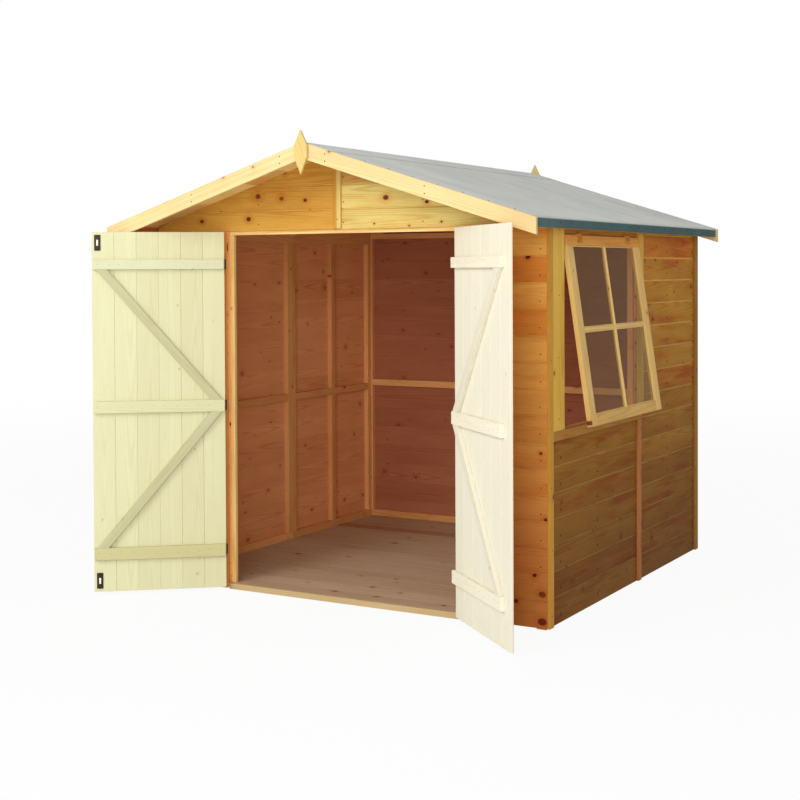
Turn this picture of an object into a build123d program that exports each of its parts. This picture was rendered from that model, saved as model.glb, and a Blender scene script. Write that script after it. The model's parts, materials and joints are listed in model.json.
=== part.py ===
"""Wooden apex garden shed with double doors and one top-hung side window.

Millimetres, +Z up, +X to the right of someone who faces the doors, doors towards -Y.
The origin lies on the ground at the centre of the four walls.  Both door leaves are
modelled as they stand at rest, swung out, and the window is propped ajar.
"""
from build123d import *
from math import cos, hypot, radians, tan
import os

# ---------------------------------------------------------------- driving sizes
WALL_WIDTH = 2100.0          # over the cladding, left to right
WALL_DEPTH = 2012.0          # over the cladding, front to back
BEARER_WIDTH = 45.0
BEARER_HEIGHT = 18.0
BEARER_COUNT = 5
FLOOR_THICKNESS = 10.0
GROUND_GAP = 8.0             # cladding and posts stop this far above the ground

CLADDING_THICKNESS = 12.0
FRAME_THICKNESS = 28.0       # framing timber, through the wall
FRAME_WIDTH = 38.0           # framing timber, along the wall
PANEL_GAP = 2.0              # between two wall panels that are bolted together
TRIM_THICKNESS = 12.0
TRIM_WIDTH = 44.0
STRIP_WIDTH = 40.0           # strips over panel joints

PITCH = 17.4                 # roof slope in degrees
FELT_THICKNESS = 3.0
DECK_THICKNESS = 12.0
EAVES_OVERHANG = 57.0
FRONT_OVERHANG = 282.0
BACK_OVERHANG = 165.0
EAVES_DROP = 46.0            # felt turned down over the eaves
EAVES_BATTEN_WIDTH = 28.0
RIDGE_BEAM_WIDTH = 28.0
RIDGE_BEAM_DEPTH = 70.0
BARGE_THICKNESS = 16.0
BARGE_DEPTH = 72.0           # measured plumb
BARGE_OVERSAIL = 29.0        # past the edge of the deck at the eaves
FINIAL_HEIGHT = 200.0
FINIAL_WIDTH = 58.0
FINIAL_THICKNESS = 14.0
FINIAL_RISE = 55.0           # point of the finial above the ridge
FINIAL_TIP = 70.0            # height of its upper point
FINIAL_WAIST = 50.0          # straight part between the two points

DOORWAY_WIDTH = 1276.0
DOORWAY_HEIGHT = 1741.0
HEAD_RAIL_DEPTH = 32.0       # rails over the doorway and along the back wall
RAFTER_HEEL = 6.0            # square heel of the gable rafters on those rails
STOP_WIDTH = 25.0            # stops round the doorway that the closed ledges stand off
STOP_THICKNESS = 18.0
EDGE_GAP = 3.0               # hinge axis to the leaf, and to the post
HEAD_GAP = 3.0               # top of the leaves under the head of the doorway
LEAF_FOOT = 18.0             # leaves stop this far above the ground
MEETING_GAP = 10.0
LEAF_CLEARANCE = 5.0         # closed boards in front of the wall
BOARD_THICKNESS = 12.0
LEDGE_THICKNESS = 20.0
LEDGE_DEPTHS = (58.0, 57.0, 47.0)            # bottom, middle, top
BOTTOM_LEDGE = 172.0         # underside of each ledge
MIDDLE_LEDGE = 873.0
TOP_LEDGE_DROP = 179.0       # from the top of the leaf to the underside of the top ledge
LEDGE_INSET = 3.0
RIGHT_LEDGE_STOP = 62.0      # right-hand ledges end this far from the free edge
BRACE_WIDTH = 40.0
BRACE_INSET = 14.0
POST_WIDTH = 38.0
LEFT_OPEN = 141.0            # how far each leaf stands open at rest
RIGHT_OPEN = 138.2

KNUCKLE_RADIUS = 5.0
PIN_RADIUS = 2.5
PIN_CLEARANCE = 0.05
KNUCKLE_GAP = 0.3
KNUCKLE_HEIGHT = 16.0
PLATE_THICKNESS = 2.5
PLATE_HEIGHT = 100.0
PLATE_WIDTH = 28.0
STRAP_LENGTH = 300.0
STRAP_ROOT = 36.0
STRAP_TIP = 16.0

BOLT_PLATE_HEIGHT = 75.0
BOLT_PLATE_WIDTH = 30.0
BOLT_PLATE_THICKNESS = 2.0
BOLT_ROD_RADIUS = 4.0
BOLT_EDGE_INSET = 12.0
BOLT_TOP_INSET = 14.0
BOLT_FLOOR_GAP = 6.0         # lower bolt above the threshold
BOLT_KEEP_HEIGHT = 15.0
BOLT_KEEP_INSET = 7.5

PANEL_JOINT = 1102.0         # from the front face to the joint in the side walls
WINDOW_START = 163.0         # from the front face
WINDOW_END = 1082.0
WINDOW_SILL = 852.0
WINDOW_HEAD_DROP = 34.0      # head of the window below the head of the doorway
SILL_DEPTH = 44.0
RIGHT_JAMB_THICKNESS = 23.0
SASH_THICKNESS = 22.0
SASH_SIDE_GAP = 15.0
SASH_JOINT_GAP = 5.0
SASH_FOOT_GAP = 5.0
SASH_HEAD_GAP = 4.0
SASH_SEAT = 0.3              # closed sash off the studs
STILE_WIDTH = 68.0
TOP_RAIL_DEPTH = 46.0
BOTTOM_RAIL_DEPTH = 48.0
PANE_THICKNESS = 3.0
SASH_ANGLE = 8.3             # how far the window is propped open
SASH_HINGE_RADIUS = 4.0
SASH_HINGE_LENGTH = 60.0
SASH_HINGE_INSET = 150.0
SASH_HINGE_LEAVES = (30.0, 36.0)             # height on the wall, on the sash
STAY_WIDTH = 14.0
STAY_THICKNESS = 5.0
STAY_HEIGHT = 12.0           # above the sill

# ---------------------------------------------------------------- derived sizes
HALF_WIDTH = WALL_WIDTH / 2
FRONT = -WALL_DEPTH / 2
BACK = WALL_DEPTH / 2
FLOOR_TOP = BEARER_HEIGHT + FLOOR_THICKNESS
CLADDING_BACK = HALF_WIDTH - CLADDING_THICKNESS
FRAME_BACK = CLADDING_BACK - FRAME_THICKNESS
FRONT_FRAME = FRONT + CLADDING_THICKNESS
FRONT_INSIDE = FRONT_FRAME + FRAME_THICKNESS
BACK_FRAME = BACK - CLADDING_THICKNESS
BACK_INSIDE = BACK_FRAME - FRAME_THICKNESS
SLOPE = tan(radians(PITCH))
PLUMB = 1 / cos(radians(PITCH))
EAVES_EDGE = HALF_WIDTH + EAVES_OVERHANG
ROOF_FRONT = FRONT - FRONT_OVERHANG
ROOF_BACK = BACK + BACK_OVERHANG
BARGE_EDGE = EAVES_EDGE + BARGE_OVERSAIL
HALF_BEAM = RIDGE_BEAM_WIDTH / 2
HEAD_RAIL_TOP = DOORWAY_HEIGHT + HEAD_RAIL_DEPTH
RIDGE_HEIGHT = (HEAD_RAIL_TOP + RAFTER_HEEL + CLADDING_BACK * SLOPE
                + (DECK_THICKNESS + FELT_THICKNESS) * PLUMB)

HALF_DOORWAY = DOORWAY_WIDTH / 2
HINGE_X = HALF_DOORWAY - EDGE_GAP
BOARD_BACK = FRONT - LEAF_CLEARANCE
LEAF_FRONT = BOARD_BACK - BOARD_THICKNESS
LEAF_BACK = BOARD_BACK + LEDGE_THICKNESS
HINGE_Y = LEAF_FRONT - KNUCKLE_RADIUS
LEAF_HINGE_EDGE = HINGE_X - EDGE_GAP
LEAF_FREE_EDGE = MEETING_GAP / 2
LEAF_TOP = DOORWAY_HEIGHT - HEAD_GAP
LEDGE_HEIGHTS = (BOTTOM_LEDGE, MIDDLE_LEDGE, LEAF_TOP - TOP_LEDGE_DROP)

JOINT_Y = FRONT + PANEL_JOINT
WINDOW_FRONT = FRONT + WINDOW_START
WINDOW_BACK = FRONT + WINDOW_END
WINDOW_HEAD = DOORWAY_HEIGHT - WINDOW_HEAD_DROP
SASH_INSIDE = CLADDING_BACK + SASH_SEAT
SASH_OUTSIDE = SASH_INSIDE + SASH_THICKNESS
SASH_FRONT = WINDOW_FRONT + SASH_SIDE_GAP
SASH_BACK = WINDOW_BACK - SASH_JOINT_GAP
SASH_BOTTOM = WINDOW_SILL + SASH_FOOT_GAP
SASH_TOP = WINDOW_HEAD - SASH_HEAD_GAP
SASH_HINGE_Z = SASH_TOP + SASH_HINGE_RADIUS + 1.0


def deck_top(x):
    """Height of the upper face of the roof deck at distance x from the ridge."""
    return RIDGE_HEIGHT - FELT_THICKNESS * PLUMB - abs(x) * SLOPE


def deck_under(x):
    """Height of the lower face of the roof deck at distance x from the ridge."""
    return deck_top(x) - DECK_THICKNESS * PLUMB


# ---------------------------------------------------------------- shape helpers
def block(xs, ys, zs):
    """A plain timber between two limits on each axis."""
    (x0, x1), (y0, y1), (z0, z1) = xs, ys, zs
    lows = Align.MIN, Align.MIN, Align.MIN
    return Pos(min(x0, x1), min(y0, y1), z0) * Box(abs(x1 - x0), abs(y1 - y0), z1 - z0, align=lows)


def profile_along_y(points, y0, y1):
    """An outline in X and Z, drawn out from y0 to y1."""
    rim = [(x, y0, z) for x, z in points]
    return extrude(make_face(Polyline(*rim, close=True)), y1 - y0, dir=(0, 1, 0))


def mirrored(shape):
    """The same piece on the other side of the ridge line."""
    return mirror(shape, Plane.YZ)


def node(name, *solids):
    """Write the solids of one named piece."""
    for solid in solids:
        solid.label = name
    shape = solids[0] if len(solids) == 1 else Compound(children=list(solids))
    shape.label = name
    export_step(shape, f"parts/{name}.step")


# ---------------------------------------------------------------- floor
def floor():
    """Bearers on the ground, the boards on them and the threshold board."""
    side_room = CLADDING_BACK - BEARER_WIDTH / 2
    step = 2 * side_room / (BEARER_COUNT - 1)
    half = BEARER_WIDTH / 2
    bearers = []
    for i in range(BEARER_COUNT):
        x = -side_room + i * step
        bearers.append(block((x - half, x + half), (FRONT_FRAME, BACK_FRAME), (0, BEARER_HEIGHT)))
    node("floor_bearers", *bearers)
    sides = (-CLADDING_BACK, CLADDING_BACK)
    node("floor_boards", block(sides, (FRONT_FRAME, BACK_FRAME), (BEARER_HEIGHT, FLOOR_TOP)))
    node("door_threshold", block((-HALF_DOORWAY, HALF_DOORWAY), (FRONT, FRONT_FRAME), (0, FLOOR_TOP)))


# ---------------------------------------------------------------- cladding
def side_slab(y0, y1, z0, z1=None):
    """Cladding of the right-hand wall; with no z1 it runs up under the roof deck."""
    if z1 is not None:
        return block((CLADDING_BACK, HALF_WIDTH), (y0, y1), (z0, z1))
    top_in, top_out = deck_under(CLADDING_BACK), deck_under(HALF_WIDTH)
    outline = [(CLADDING_BACK, z0), (HALF_WIDTH, z0), (HALF_WIDTH, top_out), (CLADDING_BACK, top_in)]
    return profile_along_y(outline, y0, y1)


def gable_slab(y0, y1):
    """The five-sided panel from the head of the doorway up to the roof deck."""
    side = deck_under(HALF_WIDTH)
    outline = [(-HALF_WIDTH, DOORWAY_HEIGHT), (HALF_WIDTH, DOORWAY_HEIGHT), (HALF_WIDTH, side),
               (0, deck_under(0)), (-HALF_WIDTH, side)]
    return profile_along_y(outline, y0, y1)


def cladding():
    """Boarded skins of the four walls, split where the panels meet and round the openings."""
    half_gap = PANEL_GAP / 2
    front_panel = (FRONT_FRAME, JOINT_Y - half_gap)
    back_panel = (JOINT_Y + half_gap, BACK_FRAME)
    heights = (GROUND_GAP, DOORWAY_HEIGHT)
    ends = (FRONT, FRONT_FRAME)
    right_end = block((HALF_DOORWAY, HALF_WIDTH), ends, heights)
    node("front_cladding", mirrored(right_end), right_end)
    node("front_gable_cladding", gable_slab(*ends))
    back_end = block((half_gap, HALF_WIDTH), (BACK_FRAME, BACK), heights)
    node("back_cladding", mirrored(back_end), back_end)
    node("back_gable_cladding", gable_slab(BACK_FRAME, BACK))
    panels = [side_slab(*front_panel, GROUND_GAP), side_slab(*back_panel, GROUND_GAP)]
    node("left_cladding", *[mirrored(panel) for panel in panels])
    below_window = side_slab(*front_panel, GROUND_GAP, WINDOW_SILL)
    node("right_cladding", below_window, side_slab(*back_panel, GROUND_GAP))
    beside_window = side_slab(FRONT_FRAME, WINDOW_FRONT, WINDOW_SILL, WINDOW_HEAD)
    behind_window = side_slab(WINDOW_BACK, front_panel[1], WINDOW_SILL, WINDOW_HEAD)
    node("window_side_cladding", beside_window, behind_window)
    node("window_head_cladding", side_slab(*front_panel, WINDOW_HEAD))


# ---------------------------------------------------------------- wall framing
def end_wall_frames():
    """Studs, rails and gable rafters behind the front and back cladding."""
    low = FLOOR_TOP + FRAME_WIDTH
    high = DOORWAY_HEIGHT
    head = HEAD_RAIL_TOP
    stud_run = (low, high)
    post_top = deck_under(0) - HALF_BEAM * SLOPE
    studs = []
    rails = []
    for frame, inside in ((FRONT_FRAME, FRONT_INSIDE), (BACK_INSIDE, BACK_FRAME)):
        depth = (frame, inside)
        corner = block((CLADDING_BACK - FRAME_WIDTH, CLADDING_BACK), depth, stud_run)
        studs += [corner, mirrored(corner)]
        studs.append(block((-HALF_BEAM, HALF_BEAM), depth, (head, post_top)))
        rails.append(block((-CLADDING_BACK, CLADDING_BACK), depth, (high, head)))
    front_depth = (FRONT_FRAME, FRONT_INSIDE)
    back_depth = (BACK_INSIDE, BACK_FRAME)
    jamb = block((HALF_DOORWAY, HALF_DOORWAY + FRAME_WIDTH), front_depth, stud_run)
    joint = block((PANEL_GAP / 2, PANEL_GAP / 2 + FRAME_WIDTH), back_depth, stud_run)
    studs += [jamb, mirrored(jamb), joint, mirrored(joint)]
    node("end_wall_studs", *studs)
    front_rail = block((HALF_DOORWAY, CLADDING_BACK), front_depth, (FLOOR_TOP, low))
    back_rail = block((PANEL_GAP / 2, CLADDING_BACK), back_depth, (FLOOR_TOP, low))
    middle = ((PANEL_GAP / 2 + FRAME_WIDTH, CLADDING_BACK - FRAME_WIDTH), back_depth)
    waist = (high - low) / 2
    back_middle = block(*middle, (waist, waist + FRAME_WIDTH))
    rails += [front_rail, mirrored(front_rail), back_rail, mirrored(back_rail)]
    rails += [back_middle, mirrored(back_middle)]
    node("end_wall_rails", *rails)
    drop = FRAME_WIDTH * PLUMB
    foot = (deck_under(0) - drop - head) / SLOPE
    outline = [(HALF_BEAM, deck_under(HALF_BEAM)), (CLADDING_BACK, deck_under(CLADDING_BACK)),
               (CLADDING_BACK, head), (foot, head), (HALF_BEAM, deck_under(HALF_BEAM) - drop)]
    rafters = []
    for depth in (front_depth, back_depth):
        rafter = profile_along_y(outline, *depth)
        rafters += [rafter, mirrored(rafter)]
    node("gable_rafters", *rafters)


def side_stud(y, z0, z1):
    """A stud of the right-hand wall that starts at y."""
    return block((FRAME_BACK, CLADDING_BACK), (y, y + FRAME_WIDTH), (z0, z1))


def side_rail(y0, y1, z0):
    """A rail of the right-hand wall on the height z0."""
    return block((FRAME_BACK, CLADDING_BACK), (y0, y1), (z0, z0 + FRAME_WIDTH))


def side_wall_frames():
    """Studs and rails of the side walls; the window takes the upper front of the right one."""
    low = FLOOR_TOP + FRAME_WIDTH
    plate = WINDOW_HEAD
    half_gap = PANEL_GAP / 2
    front_panel = (FRONT_INSIDE, JOINT_Y - half_gap)
    back_panel = (JOINT_Y + half_gap, BACK_INSIDE)
    top = [(FRAME_BACK, plate), (CLADDING_BACK, plate), (CLADDING_BACK, deck_under(CLADDING_BACK)),
           (FRAME_BACK, deck_under(FRAME_BACK))]
    ends = [front_panel[0], front_panel[1] - FRAME_WIDTH, back_panel[0], back_panel[1] - FRAME_WIDTH]
    shared = [side_stud(y, low, plate) for y in ends]
    back_middle = sum(back_panel) / 2 - FRAME_WIDTH / 2
    front_middle = sum(front_panel) / 2 - FRAME_WIDTH / 2
    shared.append(side_stud(back_middle, low, plate))
    under_sill = WINDOW_SILL - FRAME_WIDTH
    right = shared + [side_stud(front_middle, low, under_sill)]
    right.append(side_stud(WINDOW_FRONT - FRAME_WIDTH, WINDOW_SILL, plate))
    left = [mirrored(stud) for stud in shared + [side_stud(front_middle, low, plate)]]
    node("side_wall_studs", *left, *right)
    rails = []
    for panel in (front_panel, back_panel):
        rails.append(side_rail(*panel, FLOOR_TOP))
        rails.append(profile_along_y(top, *panel))
    waist = under_sill
    for y0, y1 in ((back_panel[0], back_middle), (back_middle, back_panel[1] - FRAME_WIDTH)):
        rails.append(side_rail(y0 + FRAME_WIDTH, y1, waist))
    left_rails = list(rails)
    for y0, y1 in ((front_panel[0], front_middle), (front_middle, front_panel[1] - FRAME_WIDTH)):
        left_rails.append(side_rail(y0 + FRAME_WIDTH, y1, waist))
    window_rail = side_rail(front_panel[0] + FRAME_WIDTH, front_panel[1] - FRAME_WIDTH, waist)
    node("side_wall_rails", *[mirrored(rail) for rail in left_rails], *rails, window_rail)


# ---------------------------------------------------------------- roof
def slope_bar(x0, x1, y0, y1, depth):
    """A timber under the right-hand deck, plumb-cut at both ends."""
    outline = [(x0, deck_under(x0)), (x1, deck_under(x1)), (x1, deck_under(x1) - depth * PLUMB),
               (x0, deck_under(x0) - depth * PLUMB)]
    return profile_along_y(outline, y0, y1)


def roof():
    """Decks, felt, ridge beam, rafters and eaves battens."""
    deck = profile_along_y([(0, deck_top(0)), (EAVES_EDGE, deck_top(EAVES_EDGE)),
                            (EAVES_EDGE, deck_under(EAVES_EDGE)), (0, deck_under(0))],
                           ROOF_FRONT, ROOF_BACK)
    node("right_roof_deck", deck)
    node("left_roof_deck", mirrored(deck))
    felt_edge = EAVES_EDGE + FELT_THICKNESS
    fold = deck_top(felt_edge) + FELT_THICKNESS * PLUMB
    hem = fold - EAVES_DROP
    felt = profile_along_y([(0, deck_top(0)), (EAVES_EDGE, deck_top(EAVES_EDGE)), (EAVES_EDGE, hem),
                            (felt_edge, hem), (felt_edge, fold), (0, RIDGE_HEIGHT)],
                           ROOF_FRONT, ROOF_BACK)
    node("right_roof_felt", felt)
    node("left_roof_felt", mirrored(felt))
    half = HALF_BEAM
    beam = profile_along_y([(0, deck_under(0)), (half, deck_under(half)),
                            (half, deck_under(0) - RIDGE_BEAM_DEPTH),
                            (-half, deck_under(0) - RIDGE_BEAM_DEPTH), (-half, deck_under(half))],
                           FRONT_INSIDE, BACK_INSIDE)
    node("ridge_beam", beam)
    batten_edge = EAVES_EDGE - EAVES_BATTEN_WIDTH
    ends = [(ROOF_FRONT, ROOF_FRONT + FRAME_THICKNESS), (ROOF_BACK - FRAME_THICKNESS, ROOF_BACK)]
    bars = [slope_bar(0, batten_edge, *end, FRAME_WIDTH) for end in ends]
    middle = JOINT_Y + PANEL_GAP / 2
    bars.append(slope_bar(half, FRAME_BACK, middle, middle + FRAME_THICKNESS, FRAME_WIDTH))
    node("right_roof_rafters", *bars)
    node("left_roof_rafters", *[mirrored(bar) for bar in bars])
    batten = profile_along_y([(batten_edge, deck_under(batten_edge)), (EAVES_EDGE, deck_under(EAVES_EDGE)),
                              (EAVES_EDGE, hem), (batten_edge, hem)], ROOF_FRONT, ROOF_BACK)
    node("eaves_battens", batten, mirrored(batten))


def bargeboards():
    """Boards that close the roof's ends, and the pointed finials over their joints."""
    edge_top = RIDGE_HEIGHT - BARGE_EDGE * SLOPE
    outline = [(0, RIDGE_HEIGHT), (BARGE_EDGE, edge_top), (BARGE_EDGE, edge_top - BARGE_DEPTH),
               (0, RIDGE_HEIGHT - BARGE_DEPTH)]
    front = profile_along_y(outline, ROOF_FRONT - BARGE_THICKNESS, ROOF_FRONT)
    back = profile_along_y(outline, ROOF_BACK, ROOF_BACK + BARGE_THICKNESS)
    node("right_bargeboards", front, back)
    node("left_bargeboards", mirrored(front), mirrored(back))
    tip = RIDGE_HEIGHT + FINIAL_RISE
    half = FINIAL_WIDTH / 2
    shoulder = tip - FINIAL_TIP
    waist = shoulder - FINIAL_WAIST
    lozenge = [(0, tip), (half, shoulder), (half, waist), (0, tip - FINIAL_HEIGHT),
               (-half, waist), (-half, shoulder)]
    front_face = ROOF_FRONT - BARGE_THICKNESS
    back_face = ROOF_BACK + BARGE_THICKNESS
    node("finials", profile_along_y(lozenge, front_face - FINIAL_THICKNESS, front_face),
         profile_along_y(lozenge, back_face, back_face + FINIAL_THICKNESS))


# ---------------------------------------------------------------- trims
def trims():
    """Cover strips at the corners, the panel joints and the gable; posts and stops of the doorway."""
    outer = HALF_WIDTH + TRIM_THICKNESS
    top = deck_under(outer)
    face = (HALF_WIDTH, outer)
    corners = []
    for y0, y1 in ((FRONT, FRONT + TRIM_WIDTH), (BACK - TRIM_WIDTH, BACK)):
        corner = block(face, (y0, y1), (GROUND_GAP, top))
        corners += [corner, mirrored(corner)]
    node("corner_trims", *corners)
    joint = (WINDOW_BACK, WINDOW_BACK + STRIP_WIDTH)
    right = block(face, joint, (GROUND_GAP, WINDOW_SILL - SILL_DEPTH))
    left = mirrored(block(face, joint, (GROUND_GAP, top)))
    half = STRIP_WIDTH / 2
    shoulder = deck_under(half)
    pointed = [(-half, GROUND_GAP), (half, GROUND_GAP), (half, shoulder), (0, deck_under(0)),
               (-half, shoulder)]
    back = profile_along_y(pointed, BACK, BACK + TRIM_THICKNESS)
    node("joint_strips", right, left, back)
    gable = [(x, max(z, DOORWAY_HEIGHT + EDGE_GAP)) for x, z in pointed]
    node("front_gable_strip", profile_along_y(gable, FRONT - TRIM_THICKNESS, FRONT))
    post_sides = (HALF_DOORWAY, HALF_DOORWAY + POST_WIDTH)
    post = block(post_sides, (LEAF_FRONT, FRONT), (GROUND_GAP, DOORWAY_HEIGHT))
    node("door_posts", post, mirrored(post))
    depth = (FRONT_INSIDE - STOP_THICKNESS, FRONT_INSIDE)
    head = DOORWAY_HEIGHT - STOP_THICKNESS
    stop = block((HALF_DOORWAY - STOP_WIDTH, HALF_DOORWAY), depth, (FLOOR_TOP, head))
    lintel_stop = block((-HALF_DOORWAY, HALF_DOORWAY), depth, (head, DOORWAY_HEIGHT))
    node("door_stops", stop, mirrored(stop), lintel_stop)


# ---------------------------------------------------------------- window
def ajar(shape):
    """Swing a piece of the closed sash out to where the stay holds it."""
    pin = Axis((SASH_OUTSIDE, 0, SASH_HINGE_Z), (0, 1, 0))
    return shape.rotate(pin, -SASH_ANGLE)


def sash_inside_at(z):
    """X of the tilted sash's inner face at height z."""
    tilt = radians(SASH_ANGLE)
    return SASH_OUTSIDE + (SASH_HINGE_Z - z) * tan(tilt) - SASH_THICKNESS / cos(tilt)


def window():
    """Jambs and sill on the wall, and the top-hung sash with its pane, hinges and stay."""
    corner = FRONT + TRIM_WIDTH
    jamb_tops = [deck_under(HALF_WIDTH + thick) for thick in (TRIM_THICKNESS, RIGHT_JAMB_THICKNESS)]
    left = block((HALF_WIDTH, HALF_WIDTH + TRIM_THICKNESS), (corner, WINDOW_FRONT),
                 (WINDOW_SILL, jamb_tops[0]))
    right = block((HALF_WIDTH, HALF_WIDTH + RIGHT_JAMB_THICKNESS),
                  (WINDOW_BACK, WINDOW_BACK + TRIM_WIDTH), (WINDOW_SILL, jamb_tops[1]))
    node("window_jambs", left, right)
    sill_face = (HALF_WIDTH, HALF_WIDTH + TRIM_THICKNESS)
    node("window_sill", block(sill_face, (corner, WINDOW_BACK + TRIM_WIDTH),
                              (WINDOW_SILL - SILL_DEPTH, WINDOW_SILL)))
    thick = (SASH_INSIDE, SASH_OUTSIDE)
    rail_foot = SASH_TOP - TOP_RAIL_DEPTH
    stiles = [(SASH_FRONT, SASH_FRONT + STILE_WIDTH), (SASH_BACK - STILE_WIDTH, SASH_BACK)]
    node("window_stiles", *[ajar(block(thick, ys, (SASH_BOTTOM, rail_foot))) for ys in stiles])
    light = (stiles[0][1], stiles[1][0])
    pane_foot = SASH_BOTTOM + BOTTOM_RAIL_DEPTH
    node("window_rails", ajar(block(thick, (SASH_FRONT, SASH_BACK), (rail_foot, SASH_TOP))),
         ajar(block(thick, light, (SASH_BOTTOM, pane_foot))))
    middle = (SASH_INSIDE + SASH_OUTSIDE) / 2
    glass = (middle - PANE_THICKNESS / 2, middle + PANE_THICKNESS / 2)
    node("window_pane", ajar(block(glass, light, (pane_foot, rail_foot))))
    node("window_hinges", *[window_hinge(y) for y in (SASH_FRONT + SASH_HINGE_INSET,
                                                      SASH_BACK - SASH_HINGE_INSET)])
    foot = WINDOW_SILL + STAY_HEIGHT
    inner = FRAME_BACK + FRAME_THICKNESS / 2
    centre = (SASH_FRONT + SASH_BACK) / 2
    arm = profile_along_y([(inner, foot), (sash_inside_at(foot), foot),
                           (sash_inside_at(foot + STAY_THICKNESS), foot + STAY_THICKNESS),
                           (inner, foot + STAY_THICKNESS)], centre, centre + STAY_WIDTH)
    pivot = block((inner, inner + STAY_WIDTH), (centre, centre + STAY_WIDTH), (WINDOW_SILL, foot))
    node("window_stay", arm + pivot)


def window_hinge(y):
    """A butt hinge: one leaf on the head of the window, the other on the sash."""
    half = SASH_HINGE_LENGTH / 2
    ys = (y - half, y + half)
    wall_leaf, sash_leaf = SASH_HINGE_LEAVES
    barrel = Pos(SASH_OUTSIDE, y, SASH_HINGE_Z) * Rot(90, 0, 0) * Cylinder(SASH_HINGE_RADIUS, 2 * half)
    upper = block((HALF_WIDTH, HALF_WIDTH + PLATE_THICKNESS), ys,
                  (SASH_HINGE_Z, SASH_HINGE_Z + wall_leaf))
    web = block((HALF_WIDTH, SASH_OUTSIDE), ys, (SASH_HINGE_Z, SASH_HINGE_Z + PLATE_THICKNESS))
    lower = ajar(block((SASH_OUTSIDE, SASH_OUTSIDE + PLATE_THICKNESS), ys,
                       (SASH_TOP - sash_leaf, SASH_HINGE_Z)))
    return upper + web + barrel + lower


# ---------------------------------------------------------------- doors
def closed_right(shape):
    """A piece of the right leaf swung from closed to where it stands at rest."""
    return shape.rotate(Axis((HINGE_X, HINGE_Y, 0), (0, 0, 1)), RIGHT_OPEN)


def closed_left(shape):
    """A piece drawn for the right leaf, mirrored and swung out as the left leaf stands."""
    return mirrored(shape).rotate(Axis((-HINGE_X, HINGE_Y, 0), (0, 0, 1)), -LEFT_OPEN)


def ledges(stop):
    """The three ledges of a leaf, the free ends stopped short of its edge."""
    run = (LEAF_FREE_EDGE + stop, LEAF_HINGE_EDGE - LEDGE_INSET)
    depth = (BOARD_BACK, LEAF_BACK)
    return [block(run, depth, (z, z + high)) for z, high in zip(LEDGE_HEIGHTS, LEDGE_DEPTHS)]


def brace(z_hinge, z_free, stop):
    """A diagonal from the hinge side at one height to the free side at another, cut level."""
    x_hinge = LEAF_HINGE_EDGE - LEDGE_INSET - BRACE_INSET
    x_free = LEAF_FREE_EDGE + stop + BRACE_INSET
    run = x_hinge - x_free - BRACE_WIDTH
    rise = abs(z_free - z_hinge)
    cut = BRACE_WIDTH * hypot(run, rise) / rise
    outline = [(x_hinge - cut, z_hinge), (x_hinge, z_hinge), (x_free + cut, z_free), (x_free, z_free)]
    return profile_along_y(outline, BOARD_BACK, LEAF_BACK)


def braces(stop):
    """Both braces rise and fall from the hinge end of the middle ledge."""
    bottom, middle, top = [(z, z + high) for z, high in zip(LEDGE_HEIGHTS, LEDGE_DEPTHS)]
    return [brace(middle[0], bottom[1], stop), brace(middle[1], top[0], stop)]


def leaf_boards():
    """The boarded face of a leaf."""
    return block((LEAF_FREE_EDGE, LEAF_HINGE_EDGE), (LEAF_FRONT, BOARD_BACK), (LEAF_FOOT, LEAF_TOP))


def knuckle_levels(z):
    """Height limits of the three knuckles of a hinge centred on z: fixed, moving, fixed."""
    half = KNUCKLE_HEIGHT / 2
    gap = KNUCKLE_GAP
    return [(z - half - gap - KNUCKLE_HEIGHT, z - half - gap), (z - half, z + half),
            (z + half + gap, z + half + gap + KNUCKLE_HEIGHT)]


def rod(radius, z0, z1):
    """An upright round on the right-hand hinge axis."""
    lows = Align.CENTER, Align.CENTER, Align.MIN
    return Pos(HINGE_X, HINGE_Y, z0) * Cylinder(radius, z1 - z0, align=lows)


def hinge_plate(z):
    """The half of a T-hinge that is screwed to the post, with its pin."""
    depth = (LEAF_FRONT - PLATE_THICKNESS, LEAF_FRONT)
    inner = HINGE_X + KNUCKLE_RADIUS + KNUCKLE_GAP
    half = PLATE_HEIGHT / 2
    shape = block((inner, inner + PLATE_WIDTH), depth, (z - half, z + half))
    low, _, high = knuckle_levels(z)
    shape += rod(PIN_RADIUS, low[0], high[1])
    for level in (low, high):
        shape += rod(KNUCKLE_RADIUS, *level)
        shape += block((HINGE_X, inner), depth, level)
    return shape


def hinge_strap(z):
    """The tapered half of a T-hinge that is screwed to the leaf."""
    depth = (LEAF_FRONT - PLATE_THICKNESS, LEAF_FRONT)
    inner = HINGE_X - KNUCKLE_RADIUS - KNUCKLE_GAP
    end = HINGE_X - STRAP_LENGTH
    root, tip = STRAP_ROOT / 2, STRAP_TIP / 2
    outline = [(inner, z - root), (inner, z + root), (end, z + tip), (end - tip, z), (end, z - tip)]
    level = knuckle_levels(z)[1]
    shape = profile_along_y(outline, *depth) + block((inner, HINGE_X), depth, level)
    shape += rod(KNUCKLE_RADIUS, *level)
    return shape - rod(PIN_RADIUS + PIN_CLEARANCE, *level)


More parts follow.
